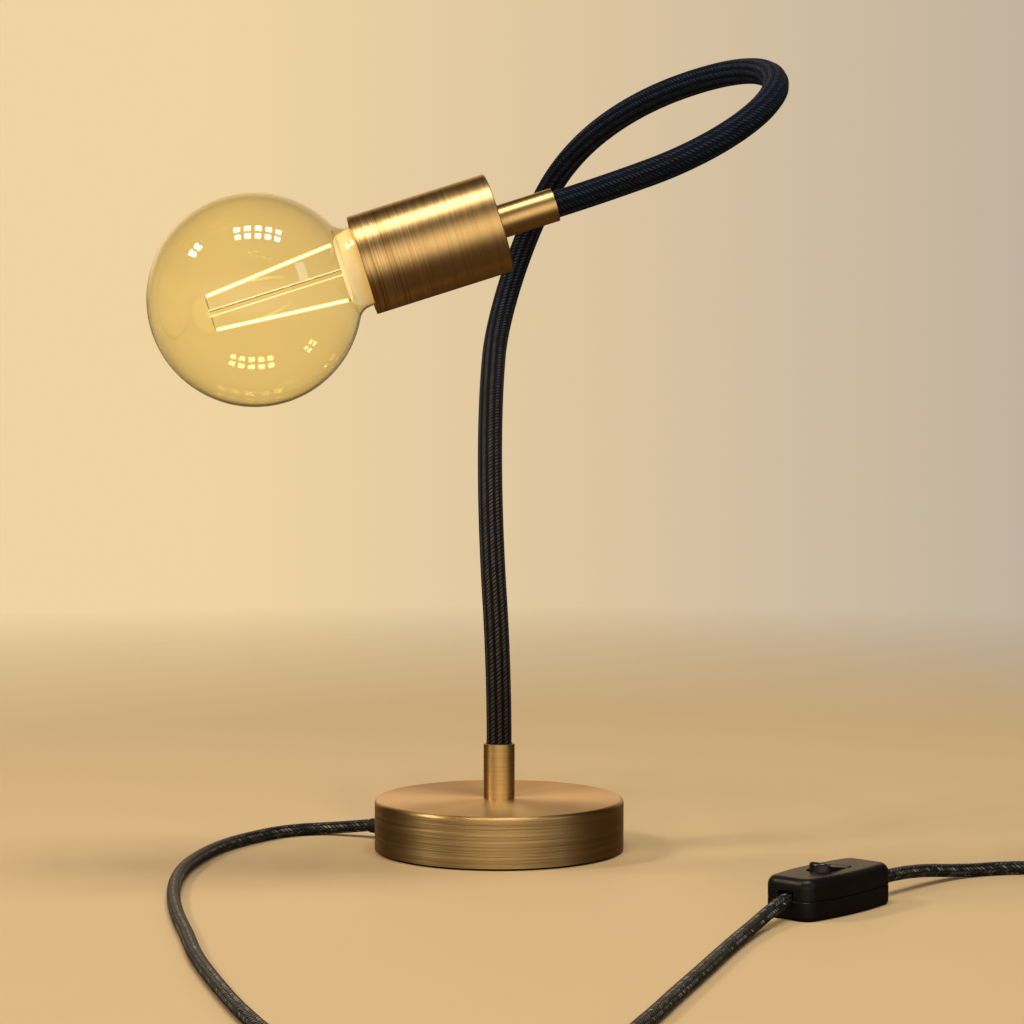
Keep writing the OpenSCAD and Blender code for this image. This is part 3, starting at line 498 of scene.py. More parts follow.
sleeve_textile, tree, shader = new_finish(
    "sleeve_textile", Specular_IOR_Level=0.12, Sheen_Weight=0.05, Sheen_Roughness=0.4,
    Sheen_Tint=(0.42, 0.50, 0.75))
lay = step(tree, "UVMap", {}, uv_map="lay")
woven = place(tree, braid, Vector=lay, Columns=float(sleeve_columns), Stitch=sleeve_stitch, Slant=1.0,
              Wide=sleeve_wide)
# Painted light: the yarn is warm brown on the lower arm and navy farther along, for the warm and the cool
# light that fall on the two parts.
far_along = between(tree, step(tree, "SeparateXYZ", {0: lay}, 0), 0.12, 0.32)
thread_in_painted_warm_light = shade(tree, woven["Yarn"], (0.062, 0.054, 0.048), (0.116, 0.100, 0.088))
thread_in_painted_cool_light = shade(tree, woven["Yarn"], (0.007, 0.014, 0.038), (0.018, 0.036, 0.090))
thread = shade(tree, far_along, thread_in_painted_warm_light, thread_in_painted_cool_light)
# Painted shade: the second column of each pair is darker, as its stitches slant away from the light.
painted_shade_column = shade(tree, far_along, (0.010, 0.009, 0.008), (0.003, 0.006, 0.013))
thread = shade(tree, woven["Column"], thread, painted_shade_column)
# Painted shade: the low places between the stitches are made dark.
join(tree, shade(tree, sums(tree, "POWER", woven["Height"], 3.0), (0.0010, 0.0010, 0.0013), thread),
     shader["Base Color"])
join(tree, between(tree, woven["Yarn"], 0.0, 1.0, 0.50, 0.72), shader["Roughness"])
join(tree, relief(tree, woven["Height"], 0.0007), shader["Normal"])

# Six corners round each pair of columns, the wide one raised
share = np.arange(3 * sleeve_columns) / 6 % 1
ribbed = sleeve_r + sleeve_rib * (np.sin(math.pi * np.minimum(share / sleeve_wide, 1)) - 0.5)
cuts = [-sleeve_end, *arm_cuts, arm_length + sleeve_end]
for k in range(6):
    along = np.linspace(cuts[k], cuts[k + 1], int(round((cuts[k + 1] - cuts[k]) / sleeve_ring)) + 1)
    radii = np.tile(ribbed, (len(along), 1))
    sleeve = tube(f"sleeve_piece_{k}", line_of([arm_spot(s) for s in along]), radii, along, False)
    sleeve.data.materials.append(sleeve_textile)
    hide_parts(f"sleeve_{k}", *(["sleeve_6"] if k == 5 else []))
    bend_at_joint(sleeve, k)


# Upper ferrule and brass cylinder
# The upper ferrule is the lower one turned round. The cylinder is drawn from brass sheet,
# closed at the arm's end, brushed round and lacquered, its coarsest marks near the mouth.
head_at = arm_spot(arm_length)
head_axis = head_at.col[2].to_3d()
head_up = (Vector((0, 0, 1)) - head_axis.z * head_axis).normalized()
head_turn = Matrix((head_up, head_axis.cross(head_up), head_axis)).transposed()


def head_place(tree):
    """The place on a piece of the head: X up, Z along its axis from the arm's end."""
    frame_of_head = {"Location": head_at.translation, "Rotation": head_turn.to_euler()}
    return step(tree, "Mapping", {"Vector": own_place(tree), **frame_of_head}, vector_type="TEXTURE")


def head_height(tree):
    """Distance along the head's axis from the arm's end."""
    return step(tree, "SeparateXYZ", {0: head_place(tree)}, 2)


brass_upper = brushed_brass(
    "brass_upper_ferrule", head_place, head_axis, head_at.translation, **ferrule_turning)
dress(brass_upper, "upper_ferrule")

brass_cylinder = brushed_brass(
    "brass_cylinder", head_place, head_axis, head_at.translation, lines=1300.0, run=8.0, depth=0.00010,
    dull=0.37, contrast=0.8, coarse_from=0.060)
dress(brass_cylinder, "holder_cover")
dress(threaded_brass("head_thread", head_place), "head_nipple")
dress(zinc, "head_nut", "terminal_screws")


# Lamp holder
# Pressed phenolic with a threaded brass shell, a centre spring and a side spring. Each
# spring is held by a terminal screw that also takes one core.
phenolic = grained(
    "holder_phenolic", 900.0, ((0.014, 0.010, 0.009), (0.040, 0.028, 0.022)), (0.25, 0.42), depth=0.00004,
    spread=(0.35, 0.65), Specular_IOR_Level=0.5)
dress(phenolic, "holder_body")

contact_brass = grained(
    "brass_contact", 650.0, ((0.55, 0.38, 0.17), (0.74, 0.55, 0.28)), (0.24, 0.40), Metallic=1.0)
dress(contact_brass, "contact_shell", "centre_contact", "side_contact", "bulb_cap",
      "switch_terminals", "switch_lever")


# Screw cap of the bulb
# A brass cap with a rolled thread, a black glass insulator and a tin-plated tip. The driver
# board inside it turns mains into the sticks' current.
board_half = 0.0007

cap_black = grained(
    "cap_black", 800.0, ((0.006, 0.005, 0.010), (0.018, 0.014, 0.024)), (0.12, 0.25),
    Specular_IOR_Level=0.6)
dress(cap_black, "bulb_insulator")
dress(zinc, "bulb_contact")

board, tree, shader = new_finish("circuit_board", Specular_IOR_Level=0.5, Roughness=0.35)
tracks = step(tree, "TexBrick", {"Vector": head_place(tree), "Scale": 260.0, "Color1": (0.02, 0.11, 0.05),
                                 "Color2": (0.015, 0.085, 0.04), "Mortar": (0.20, 0.15, 0.04)})
on_chips = sums(tree, "GREATER_THAN", step(tree, "SeparateXYZ", {0: head_place(tree)}, 1), board_half)
join(tree, shade(tree, on_chips, tracks, (0.012, 0.012, 0.02)), shader["Base Color"])
dress(board, "bulb_driver")


# Glass rod, light sticks and wires
# A pressed glass rod stands in the neck and carries two sticks of small diodes under a
# yellow coat. They are lit. Thin wires join them to the rod's tip and to the collar.
diodes_a_metre = 700.0

rod_glass, tree, shader = new_finish(
    "rod_glass", Transmission_Weight=1.0, IOR=1.48, Base_Color=(1.0, 0.93, 0.76))
cloudy = place(tree, grain, Vector=own_place(tree), Size=300.0)
join(tree, between(tree, cloudy["Bumps"], 0.3, 0.7, 0.0, 0.06), shader["Roughness"])
# Painted glow: the rod's edges give off a warm light, standing in for the sticks' light caught in the
# glass.
edge = between(tree, step(tree, "LayerWeight", {"Blend": 0.5}, "Facing"), 0.25, 0.60)
join(tree, shade(tree, edge, (0.02, 0.012, 0.004), (1.0, 0.90, 0.60)), shader["Emission Color"])
join(tree, 1.6, shader["Emission Strength"])
dress(rod_glass, "bulb_stem")

filament, tree, shader = new_finish("filament", Roughness=0.5)
facing = step(tree, "LayerWeight", {"Blend": 0.5}, "Facing")
join(tree, between(tree, facing, 0.0, 0.22, 5.0, 0.95), shader["Emission Strength"])
beads = sums(tree, "PINGPONG", sums(tree, "MULTIPLY", head_height(tree), diodes_a_metre), 0.5)
lit = shade(tree, beads, (1.0, 0.78, 0.36), (1.0, 0.84, 0.48))
join(tree, shade(tree, between(tree, facing, 0.04, 0.22), lit, (1.0, 0.74, 0.20)), shader["Emission Color"])
join(tree, shade(tree, beads, (0.85, 0.62, 0.20), (0.95, 0.75, 0.30)), shader["Base Color"])
dress(filament, "bulb_filaments")

lead_wire, tree, shader = new_finish("lead_wire", Metallic=1.0)
drawn = place(tree, grain, Vector=own_place(tree), Size=2500.0)
join(tree, shade(tree, drawn["Bumps"], (0.55, 0.49, 0.38), (0.75, 0.68, 0.54)), shader["Base Color"])
join(tree, between(tree, drawn["Bumps"], 0.3, 0.7, 0.25, 0.4), shader["Roughness"])
dress(lead_wire, "bulb_leads")


# Collar
# A cup of white ceramic-filled plastic in the bulb's neck that hides the driver. It has a
# painted warm glow next to the sticks' feet, for their light falling on it.
collar_painted_glow, tree, shader = new_finish("collar_white", Specular_IOR_Level=0.5, Emission_Strength=0.70)
soft = place(tree, grain, Vector=own_place(tree), Size=600.0)
# Painted glow: its colour turns from a dim orange to a pale warm white between 90 and 99 mm along the head.
depth = between(tree, head_height(tree), 0.090, 0.099)
join(tree, shade(tree, soft["Patches"], (0.80, 0.66, 0.42), (0.88, 0.76, 0.54)), shader["Base Color"])
join(tree, shade(tree, depth, (0.75, 0.47, 0.19), (1.0, 0.87, 0.58)), shader["Emission Color"])
join(tree, between(tree, soft["Bumps"], 0.3, 0.7, 0.35, 0.5), shader["Roughness"])
dress(collar_painted_glow, "bulb_collar")


# Glass globe
# Clear amber glass, blown in a mould and drawn to a neck that is cemented in the cap. The
# colour is in the glass, so it looks deeper towards the rim.
amber_glass, tree, shader = new_finish(
    "amber_glass", Transmission_Weight=1.0, IOR=1.45, Base_Color=(0.99, 0.925, 0.675))
blown = place(tree, grain, Vector=own_place(tree), Size=90.0)
join(tree, between(tree, blown["Bumps"], 0.3, 0.7, 0.0, 0.02), shader["Roughness"])
join(tree, relief(tree, blown["Patches"], 0.0006, 0.5), shader["Normal"])
dress(amber_glass, "bulb_glass")


# Switch case
# Two halves of black moulded plastic with a fine spark-eroded skin, screwed together from
# below. The sides swell to the middle, and both ends have an opening for the cord.
switch_at = Vector((0.143, -0.152, 0))
switch_turn = math.radians(48)
switch_long = 0.062
switch_end_wide = 0.025
switch_wide = 0.029
switch_corner = 0.006
switch_high = 0.018
switch_seam = 0.0085
switch_wall = 0.0018
seat_r = 0.0033
seat_reach = 0.033
crease = math.radians(32)
on_switch = Matrix.Translation(switch_at) @ Matrix.Rotation(switch_turn, 4, "Z")

switch_black, tree, shader = new_finish("switch_plastic", Specular_IOR_Level=0.30)
skin = place(tree, grain, Vector=own_place(tree), Size=2600.0)
worn = place(tree, smudges, Vector=own_place(tree), Size=60.0)
join(tree, shade(tree, worn["Dull"], (0.0056, 0.0052, 0.0052), (0.0094, 0.0083, 0.0081)),
     shader["Base Color"])
join(tree, between(tree, skin["Bumps"], 0.3, 0.7, 0.30, 0.44), shader["Roughness"])
join(tree, relief(tree, skin["Bumps"], 0.00005), shader["Normal"])


def case_plan(inset):
    """Outline of the case drawn in by a distance, anticlockwise."""
    r = switch_corner - min(inset, switch_corner - 0.002)
    x = switch_long / 2 - inset - r
    y = switch_end_wide / 2 - inset
    swell = (switch_wide - switch_end_wide) / 2
    corner = [(x + r * math.cos(a), y - r + r * math.sin(a)) for a in np.radians(np.linspace(0, 86, 9))]
    flank = [(x * t, y + swell * (1 - t * t)) for t in np.linspace(1, -1, 15)[1:-1]]
    half = corner + flank + [(-px, py) for px, py in corner[::-1]]
    return np.array(half + [(-px, -py) for px, py in half])


def stacked(name, rings):
    """A closed mesh through rings of equal count, with both ends covered."""
    round_n = len(rings[0])
    corners = np.concatenate(rings)
    faces = []
    for i in range(len(rings) - 1):
        for j in range(round_n):
            k = (j + 1) % round_n
            faces.append([i * round_n + j, i * round_n + k, (i + 1) * round_n + k, (i + 1) * round_n + j])
    last = (len(rings) - 1) * round_n
    faces += [list(range(round_n))[::-1], list(range(last, last + round_n))]
    mesh = bpy.data.meshes.new(name)
    mesh.from_pydata(corners.tolist(), [], faces)
    made = bpy.data.objects.new(name, mesh)
    bpy.context.scene.collection.objects.link(made)
    return made


def at_height(plan, z):
    return np.column_stack([plan, np.full(len(plan), z)])


def cut_away(piece, cutters):
    """Cuts the cutters out of a piece and clears them away."""
    for cutter in cutters:
        hole = piece.modifiers.new("hole", "BOOLEAN")
        hole.operation = "DIFFERENCE"
        hole.solver = "EXACT"
        hole.object = cutter
    bpy.context.view_layer.update()
    mesh = bpy.data.meshes.new_from_object(piece.evaluated_get(bpy.context.evaluated_depsgraph_get()))
    piece.modifiers.clear()
    piece.data = mesh
    for cutter in cutters:
        bpy.data.objects.remove(cutter)
    mesh.shade_smooth()
    mesh.set_sharp_from_angle(angle=crease)
    return piece


def round_plan(x, y, r, count=20):
    angle = np.arange(count) * 2 * math.pi / count
    return np.column_stack([x + r * np.cos(angle), y + r * np.sin(angle)])


def slot_plan(length, width, count=12):
    """Outline of a slot with round ends, anticlockwise."""
    r = width / 2
    angle = np.linspace(-math.pi / 2, math.pi / 2, count)
    end = np.column_stack([length / 2 - r + r * np.cos(angle), r * np.sin(angle)])
    return np.concatenate([end, -end])


def end_openings():
    """Blocks that open both ends of the upper half above the cord."""
    made = []
    for side in (-1, 1):
        plan = [(-0.003, -0.004), (0.003, -0.004), (0.003, 0.004), (-0.003, 0.004)]
        plan = np.array(plan) + (side * (switch_long / 2 - 0.0005), 0)
        made.append(stacked("opening", [at_height(plan, switch_seam + z) for z in (-0.001, 0.004)]))
    return made


def cord_seat():
    """A round bar that leaves a half-round seat for the cord in both ends of the lower half."""
    made = stacked("seat", [at_height(round_plan(0, 0, seat_r), z) for z in (-seat_reach, seat_reach)])
    made.data.transform(Matrix.Translation((0, 0, switch_seam)) @ Matrix.Rotation(math.radians(90), 4, "Y"))
    return [made]


def case_half(name, outside, inside, cutters):
    """A case half from heights and insets of its outside and of its hollow."""
    rings = [at_height(case_plan(inset), z) for inset, z in outside]
    rings += [at_height(case_plan(switch_wall + inset), z) for inset, z in inside]
    return cut_away(stacked(name, rings), cutters)


quarter = np.radians([0, 15, 30, 45, 60, 75, 90])
rounded = [(0.0036 * (1 - math.sin(a)), 0.0138 + 0.0042 * math.cos(a)) for a in quarter]
upper = case_half(
    "switch_upper_half",
    [(0.0045, switch_high)] + rounded + [(0.0, 0.0089), (0.0003, switch_seam + 0.0001)],
    [(0.0, switch_seam + 0.0001), (0.0, 0.0150), (0.0012, 0.0162)],
    [stacked("slot", [at_height(slot_plan(0.0252, 0.0116), z) for z in (0.0140, 0.0200)]), *end_openings()])
lower = case_half(
    "switch_lower_half",
    [(0.0014, 0.0), (0.0006, 0.0004), (0.0001, 0.0012), (0.0, 0.0020), (0.0, 0.0082),
     (0.0003, switch_seam)],
    [(0.0, switch_seam), (0.0, 0.0026), (0.0008, switch_wall)],
    [stacked("bore", [at_height(round_plan(0, y, r), z) for z in span])
     for y in (-0.010, 0.010) for r, span in ((0.0026, (-0.001, 0.0014)), (0.00145, (0.001, 0.004)))]
    + cord_seat())
for piece, node in ((upper, "switch_cover"), (lower, "switch_base")):
    piece.data.materials.append(switch_black)
    piece.data.transform(on_switch)
    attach(piece, "base")
    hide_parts(node)


# Works of the switch
# Brass terminals and fixed contacts stand in the lower half, a strip rocks on a post, and
# plated screws and plastic bars hold the cores and both cord ends.
dress(zinc, "switch_screws")
dress(switch_black, "switch_clamps")


# Rocker
# Moulded in one piece with its cross pin. The top is a saddle, so a finger finds either
# end, and use has polished its two crests. Their lighter colour is a painted highlight.
rocker_long = 0.0232
rocker_wide = 0.011
rocker_lift = 0.0125
rocker_tip = math.radians(10)
saddle_low = 0.0056
saddle_rise = 0.0021
end_drop = 0.0008
edge_r = 0.0011
pin_r = 0.0012
pin_half = 0.0077

rocker_black, tree, shader = new_finish("rocker_plastic", Specular_IOR_Level=0.55)
skin = place(tree, grain, Vector=own_place(tree), Size=2200.0)
# Painted highlight: the colour turns lighter towards the tops of the crests. The lower roughness there is
# the polish of use.
height = between(tree, step(tree, "SeparateXYZ", {0: own_place(tree)}, 2), 0.0175, 0.0225)
join(tree, shade(tree, height, (0.0040, 0.0036, 0.0035), (0.0075, 0.0066, 0.0060)), shader["Base Color"])
join(tree, sums(tree, "SUBTRACT", between(tree, skin["Bumps"], 0.3, 0.7, 0.34, 0.46),
                sums(tree, "MULTIPLY", height, 0.16)), shader["Roughness"])
join(tree, relief(tree, skin["Bumps"], 0.00003), shader["Normal"])


def saddle(x, edge):
    """Height of the rocker's top at a place that far inside its outline."""
    far = np.abs(x) / (rocker_long / 2)
    top = saddle_low + saddle_rise * np.clip(far / 0.8, 0, 1) ** 1.7
    top -= end_drop * np.clip((far - 0.8) / 0.2, 0, 1) ** 2
    return top - edge_r * (1 - np.sqrt(1 - np.clip(1 - edge / edge_r, 0, 1) ** 2))


rings = [at_height(slot_plan(rocker_long - 0.001, rocker_wide - 0.001, 16), -0.0012),
         at_height(slot_plan(rocker_long, rocker_wide, 16), -0.0008)]
for edge in (0.0, 0.00012, 0.0004, 0.0008, 0.0013, 0.0022, 0.0032, 0.0042, 0.0051):
    plan = slot_plan(rocker_long - 2 * edge, rocker_wide - 2 * edge, 16)
    rings.append(np.column_stack([plan, saddle(plan[:, 0], edge)]))
rocker = stacked("switch_rocker_piece", rings)
pin = stacked("pin", [at_height(round_plan(0, 0, pin_r), z) for z in (-pin_half, pin_half)])
pin.data.transform(Matrix.Rotation(math.radians(90), 4, "X"))
tongue_plan = np.array([(-0.001, -0.002), (0.001, -0.002), (0.001, 0.002), (-0.001, 0.002)])
tongue = stacked("tongue", [at_height(tongue_plan, z) for z in (-0.0044, -0.0008)])


def gather(piece, *others):
    """Adds the meshes of others to a piece's own."""
    meshes = [piece.data] + [other.data for other in others]
    corners, faces = [], []
    for mesh in meshes:
        faces += [[len(corners) + v for v in face.vertices] for face in mesh.polygons]
        corners += [tuple(v.co) for v in mesh.vertices]
    whole = bpy.data.meshes.new(piece.name)
    whole.from_pydata(corners, [], faces)
    whole.shade_smooth()
    whole.set_sharp_from_angle(angle=crease)
    piece.data = whole
    for other in others:
        bpy.data.objects.remove(other)


gather(rocker, pin, tongue)
lifted = Matrix.Translation((0, 0, rocker_lift))
rocker.data.transform(on_switch @ lifted @ Matrix.Rotation(rocker_tip, 4, "Y"))
rocker.data.materials.append(rocker_black)
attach(rocker, "rocker")
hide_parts("switch_rocker")


# Plug
# Black moulded plastic with a ribbed, tapered strain relief on the cord and two nickel
# pins. It is flat for its width and lies at the end of the coil.
coil_across = 0.292
coil_pitch = 0.0067
coil_rounds = 3.25
coil_middle_r = 0.033
coil_out = coil_middle_r + coil_pitch * coil_rounds / 4
tail_y = -0.066
coil_at = (coil_across, tail_y + coil_out)
bore_r = 0.00205
bore_off = 0.0093


def coil_point(t):
    """A point of the coil after t turns: inwards on the floor, then outwards on itself."""
    r = coil_out - coil_pitch * (coil_rounds / 2 - abs(t - coil_rounds / 2))
    climb = min(max((t - coil_rounds / 2) * 2 + 0.5, 0), 1)
    a = 2 * math.pi * t - math.pi / 2
    return (coil_at[0] + r * math.cos(a), coil_at[1] + r * math.sin(a), 0.003 + climb * coil_pitch)


coil_top = Vector(coil_point(coil_rounds))
plug_foot = Vector((coil_top.x, coil_top.y + 0.024, 0.0075))
at_plug = Matrix.Translation(plug_foot) @ Matrix.Rotation(math.radians(-90), 4, "X")

plug_black = grained(
    "plug_plastic", 2000.0, ((0.010, 0.010, 0.010), (0.019, 0.018, 0.018)), (0.36, 0.52), depth=0.00004,
    Specular_IOR_Level=0.45)


def plug_ring(z, wide, thick, square):
    """One section of the plug, from round to nearly square-shouldered."""
    angle = np.arange(40) * 2 * math.pi / 40
    x, y = (np.sign(c) * np.abs(c) ** (2 / square) for c in (np.cos(angle), np.sin(angle)))
    return at_height(np.column_stack([wide * x, thick * y]), z)


sections = []
for z in np.arange(0.0002, 0.0215, 0.0004):
    r = 0.0040 + 0.0020 * z / 0.022 - (0.0006 if z > 0.002 and (z / 0.0028) % 1 > 0.62 else 0)
    sections.append(plug_ring(z, r, r, 2.0))
for z, wide, thick, square in ((0.0222, 0.0062, 0.0060, 2.1), (0.0232, 0.0076, 0.0061, 2.3),
                               (0.0262, 0.0092, 0.0063, 2.6), (0.0310, 0.0112, 0.0066, 2.9),
                               (0.0370, 0.0126, 0.0069, 3.1), (0.0420, 0.0130, 0.0071, 3.2),
                               (0.0480, 0.0127, 0.0073, 3.2), (0.0540, 0.0122, 0.0074, 3.2),
                               (0.0570, 0.0120, 0.0075, 3.2), (0.0578, 0.0118, 0.0073, 3.2),
                               (0.0580, 0.0112, 0.0068, 3.2)):
    sections.append(plug_ring(z, wide, thick, square))
plug = cut_away(stacked("plug_moulding", sections),
                [stacked("bore", [at_height(round_plan(x, 0, bore_r), z) for z in (0.046, 0.060)])
                 for x in (-bore_off, bore_off)])
plug.data.transform(at_plug)
plug.data.materials.append(plug_black)
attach(plug, "base")
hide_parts("plug_body")

nickel = grained(
    "pin_nickel", 900.0, ((0.58, 0.56, 0.52), (0.72, 0.70, 0.66)), (0.14, 0.26), Metallic=1.0)
dress(nickel, "plug_pins")


# Cord
# Two cores under a round braid of dark polyester with a pale fleck. It leaves the base at
# the rear left, comes round the front to the switch, and its spare length lies in a coil.
cord_r = 0.003
cord_columns = 10
cord_stitch = 0.0023
cord_rib = 0.00006
cord_ring = 0.0018

cord_textile, tree, shader = new_finish(
    "cord_textile", Specular_IOR_Level=0.25, Sheen_Weight=0.05, Sheen_Roughness=0.35,
    Sheen_Tint=(0.75, 0.80, 0.80))
lay = step(tree, "UVMap", {}, uv_map="lay")
woven = place(tree, braid, Vector=lay, Columns=float(cord_columns), Stitch=cord_stitch, Slant=1.0)
thread = shade(tree, sums(tree, "POWER", woven["Yarn"], 2.0), (0.030, 0.036, 0.036), (0.42, 0.41, 0.36))
# Painted shade: every second column of stitches is darker, as they slant away from the light.
thread = shade(tree, sums(tree, "MULTIPLY", woven["Column"], 0.6), thread, (0.010, 0.013, 0.013))
# Painted shade: the low places between the stitches are made dark.
join(tree, shade(tree, sums(tree, "POWER", woven["Height"], 4.0), (0.0010, 0.0013, 0.0013), thread),
     shader["Base Color"])
join(tree, between(tree, woven["Yarn"], 0.0, 1.0, 0.34, 0.55), shader["Roughness"])
join(tree, relief(tree, woven["Height"], 0.0006), shader["Normal"])


def at_exit(reach):
    """A point on the line in which the cord leaves the base."""
    return (*(exit_way * reach).xy, exit_height)


def in_switch(x):
    """A point on the switch's long axis, at its seam."""
    return tuple(on_switch @ Vector((x, 0, switch_seam)))


lead_route = [at_exit(r) for r in (0.030, 0.052, 0.066, 0.072)] + [
    (-0.075, 0.0378, 0.0046), (-0.087, 0.0412, 0.0033), (-0.0985, 0.0390, 0.003), (-0.110, 0.0306, 0.003),
    (-0.120, 0.017, 0.003), (-0.130, -0.001, 0.003), (-0.138, -0.025, 0.003), (-0.144, -0.060, 0.003),
    (-0.145, -0.095, 0.003), (-0.142, -0.135, 0.003), (-0.136, -0.175, 0.003), (-0.127, -0.220, 0.003),
    (-0.118, -0.265, 0.003), (-0.105, -0.315, 0.003), (-0.090, -0.365, 0.003), (-0.074, -0.405, 0.003),
    (-0.048, -0.436, 0.003), (-0.014, -0.448, 0.003), (0.019, -0.438, 0.003), (0.041, -0.411, 0.003),
    (0.054, -0.375, 0.003), (0.066, -0.335, 0.003), (0.079, -0.292, 0.003), (0.094, -0.242, 0.003),
    (0.105, -0.210, 0.0038), (0.114, -0.189, 0.006)] + [in_switch(-0.031), in_switch(-0.022)]
tail_route = [in_switch(0.022), in_switch(0.031)] + [
    (0.175, -0.116, 0.0086), (0.185, -0.104, 0.0078), (0.195, -0.092, 0.0062), (0.206, -0.081, 0.0042),
    (0.218, -0.073, 0.0031), (0.232, -0.068, 0.003), (0.250, tail_y, 0.003), (0.270, tail_y, 0.003),
    (0.286, tail_y, 0.003)] + [coil_point(i / 24) for i in range(79)]
for t in (1 / 3, 2 / 3, 1):
    rise = (plug_foot.z - coil_top.z) * t * t * (3 - 2 * t)
    tail_route.append(tuple(coil_top + Vector((0, 0.018 * t, rise))))
tail_route.append(tuple(plug_foot))


def smooth_line(route, gap):
    """Even points on a smooth curve through the route, with side directions that don't twist."""
    p = np.array([route[0], *route, route[-1]])
    t = np.linspace(0, 1, 12, endpoint=False)[:, None]
    curve = []
    for a, b, c, d in zip(p, p[1:], p[2:], p[3:]):
        curve.append(0.5 * (2 * b + (c - a) * t + (2 * a - 5 * b + 4 * c - d) * t * t
                            + (3 * b - a - 3 * c + d) * t * t * t))
    curve = np.concatenate(curve + [p[-1:]])
    far = np.concatenate([[0], np.cumsum(np.linalg.norm(np.diff(curve, axis=0), axis=1))])
    along = np.linspace(0, far[-1], int(round(far[-1] / gap)) + 1)
    centre = np.column_stack([np.interp(along, far, curve[:, i]) for i in range(3)])
    ahead = np.gradient(centre, axis=0)
    ahead /= np.linalg.norm(ahead, axis=1)[:, None]
    side = [np.cross((0, 0, 1), ahead[0])]
    for way in ahead:
        off = side[-1] - np.dot(side[-1], way) * way
        side.append(off / np.linalg.norm(off))
    side = np.array(side[1:])
    return (centre, side, np.cross(ahead, side)), along


def braided_cord(name, route):
    """A cord along a route, with its first point and its length."""
    line, along = smooth_line(route, cord_ring)
    share = np.arange(2 * cord_columns) / 2 % 1
    ribbed = cord_r + cord_rib * (np.sin(math.pi * share) - 0.5)
    made = tube(name, line, np.tile(ribbed, (len(along), 1)), along)
    made.data.materials.append(cord_textile)
    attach(made, "base")
    return made, line[0], along[-1]


lead, lead_points, lead_length = braided_cord("cord_lead_braid", lead_route)
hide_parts("cord_lead")
tail, tail_points, tail_length = braided_cord("cord_tail_braid", tail_route)
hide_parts("cord_tail", "cord_coil")


# Floor, light and camera
# A plain pale floor that fades into the backdrop, a wide soft lamp overhead, a small one at
# the left, a weak one at the right, and the camera at the photograph's viewing angle.
floor_colour = (0.76, 0.55, 0.30)
floor_painted_dark_reflection = (0.08, 0.045, 0.015)
floor_r = 1.6
panel_share = 0.62

floor_paint, tree, shader = new_finish("floor_paint", Roughness=0.6, Specular_IOR_Level=0.3)
spot = step(tree, "TexCoord", {}, "Object")
mottle = noise(tree, spot, 9.0, 3.0)
seen_colour = shade(tree, mottle, tuple(0.97 * c for c in floor_colour), floor_colour)
# Painted reflection: glossy rays see the floor as a dark brown, so the metal mirrors it darker than it
# looks.
join(tree, shade(tree, step(tree, "LightPath", {}, "Is Glossy Ray"), seen_colour, floor_painted_dark_reflection),
     shader["Base Color"])
far = step(tree, "VectorMath", {0: spot}, "Value", operation="LENGTH")
join(tree, between(tree, far, 0.50, 1.30, 1.0, 0.0), shader["Alpha"])
floor_mesh = bpy.data.meshes.new("floor")
floor_mesh.from_pydata(at_height(round_plan(0, 0, floor_r, 96), 0).tolist(), [], [list(range(96))])
floor = bpy.data.objects.new("floor", floor_mesh)
floor.data.materials.append(floor_paint)
bpy.context.scene.collection.objects.link(floor)

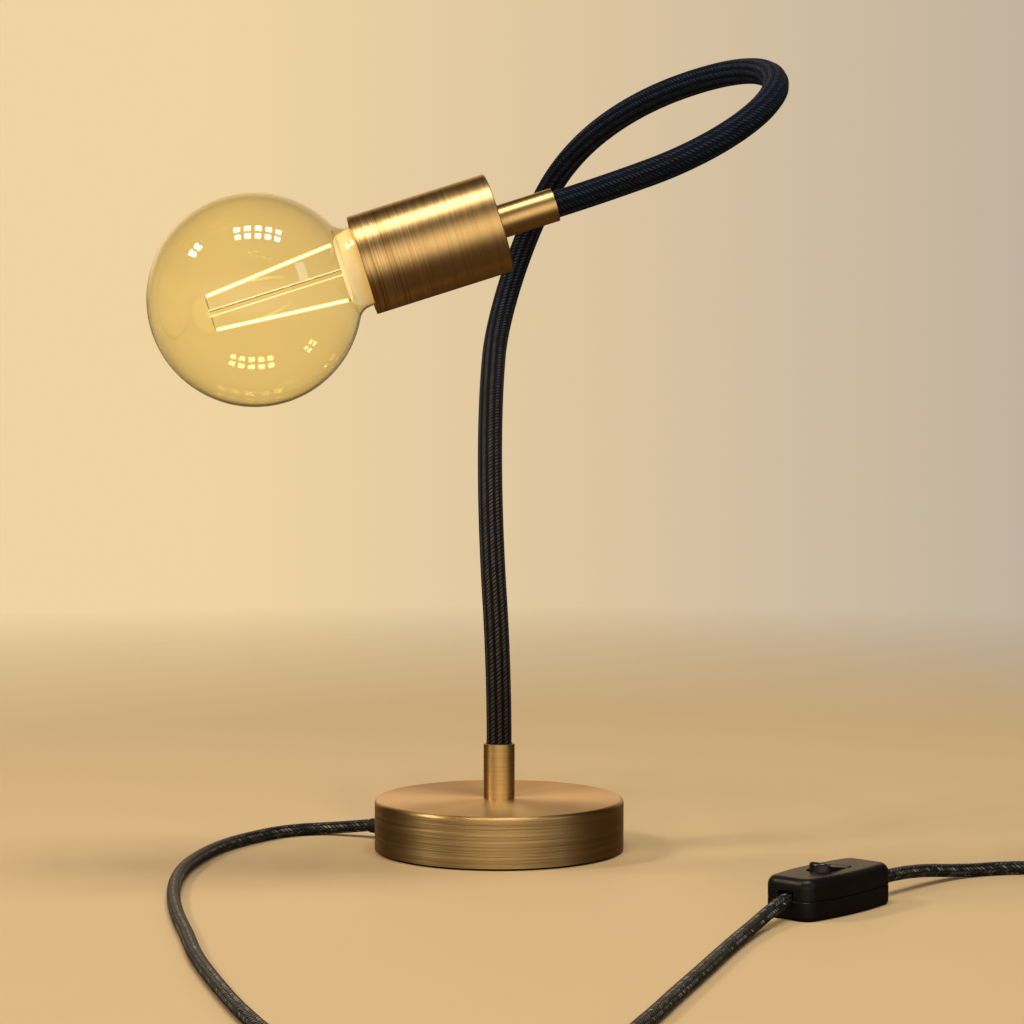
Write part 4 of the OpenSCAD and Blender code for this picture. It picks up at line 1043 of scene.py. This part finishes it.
world = bpy.data.worlds.new("studio")
world.use_nodes = True
bpy.context.scene.world = world
tree = world.node_tree
parts = tree.nodes.new("ShaderNodeSeparateXYZ")
join(tree, step(tree, "TexCoord", {}, "Generated"), parts.inputs[0])
to_right, to_back, to_sky = parts.outputs
backdrop = shade(tree, between(tree, to_right, -0.10, 0.17), (0.87, 0.655, 0.36), (0.54, 0.45, 0.35))
backdrop_mirrored = sums(tree, "MULTIPLY", between(tree, to_back, 0.75, 0.96),
                         between(tree, to_sky, 0.0, 0.12))
front = sums(tree, "MULTIPLY", sums(tree, "POWER", between(tree, to_back, 1.0, -1.0), 6.0),
             between(tree, to_sky, 0.55, 0.15))
warm_backdrop = shade(tree, between(tree, to_right, -0.5, 0.5), (1.50, 1.06, 0.62), (0.55, 0.39, 0.24))
mirrored = shade(tree, backdrop_mirrored, (0.020, 0.011, 0.003), warm_backdrop)
mirrored = shade(tree, front, mirrored, (1.75, 1.54, 1.20))
seen = sums(tree, "MAXIMUM", step(tree, "LightPath", {}, "Is Camera Ray"),
            step(tree, "LightPath", {}, "Is Transmission Ray"))
around = shade(tree, step(tree, "LightPath", {}, "Is Glossy Ray"), (0.17, 0.16, 0.15), mirrored)
join(tree, shade(tree, seen, around, backdrop), tree.nodes["Background"].inputs["Color"])


def soft_lamp(name, at, aim, size, power, colour, panels=(1, 1)):
    """A rectangular lamp made of lit panels with dark bars between them."""
    turn = (Vector(aim) - Vector(at)).to_track_quat("-Z", "Y")
    light = bpy.data.lights.new(name, "AREA")
    light.shape = "RECTANGLE"
    light.size, light.size_y = (panel_share * length / count for length, count in zip(size, panels))
    light.energy = power / (panels[0] * panels[1])
    light.color = colour
    for i in range(panels[0]):
        for j in range(panels[1]):
            off = [length * ((n + 0.5) / count - 0.5) for length, n, count in zip(size, (i, j), panels)]
            made = bpy.data.objects.new(name, light)
            made.location = Vector(at) + turn @ Vector((*off, 0))
            made.rotation_euler = turn.to_euler()
            bpy.context.scene.collection.objects.link(made)


soft_lamp("key_lamp", (0.05, -0.62, 2.3), (0, 0, 0.15), (1.6, 0.75), 35.0, (1.0, 0.92, 0.78), (5, 2))
soft_lamp("side_lamp", (-1.7, -0.3, 1.6), (0, 0, 0.15), (0.45, 0.45), 15.0, (1.0, 0.90, 0.72), (2, 2))
soft_lamp("fill_lamp", (1.9, -1.2, 1.4), (0, 0, 0.15), (0.8, 1.2), 3.0, (0.86, 0.91, 1.0))

camera = bpy.data.objects.new("camera", bpy.data.cameras.new("camera"))
camera.data.lens = 105
camera.data.sensor_width = 36
camera.location = (0.0062, -1.430, 0.248)
camera.rotation_euler = (math.radians(90 - 3.4), 0, 0)
bpy.context.scene.collection.objects.link(camera)
bpy.context.scene.camera = camera
bpy.context.scene.view_settings.view_transform = "Standard"
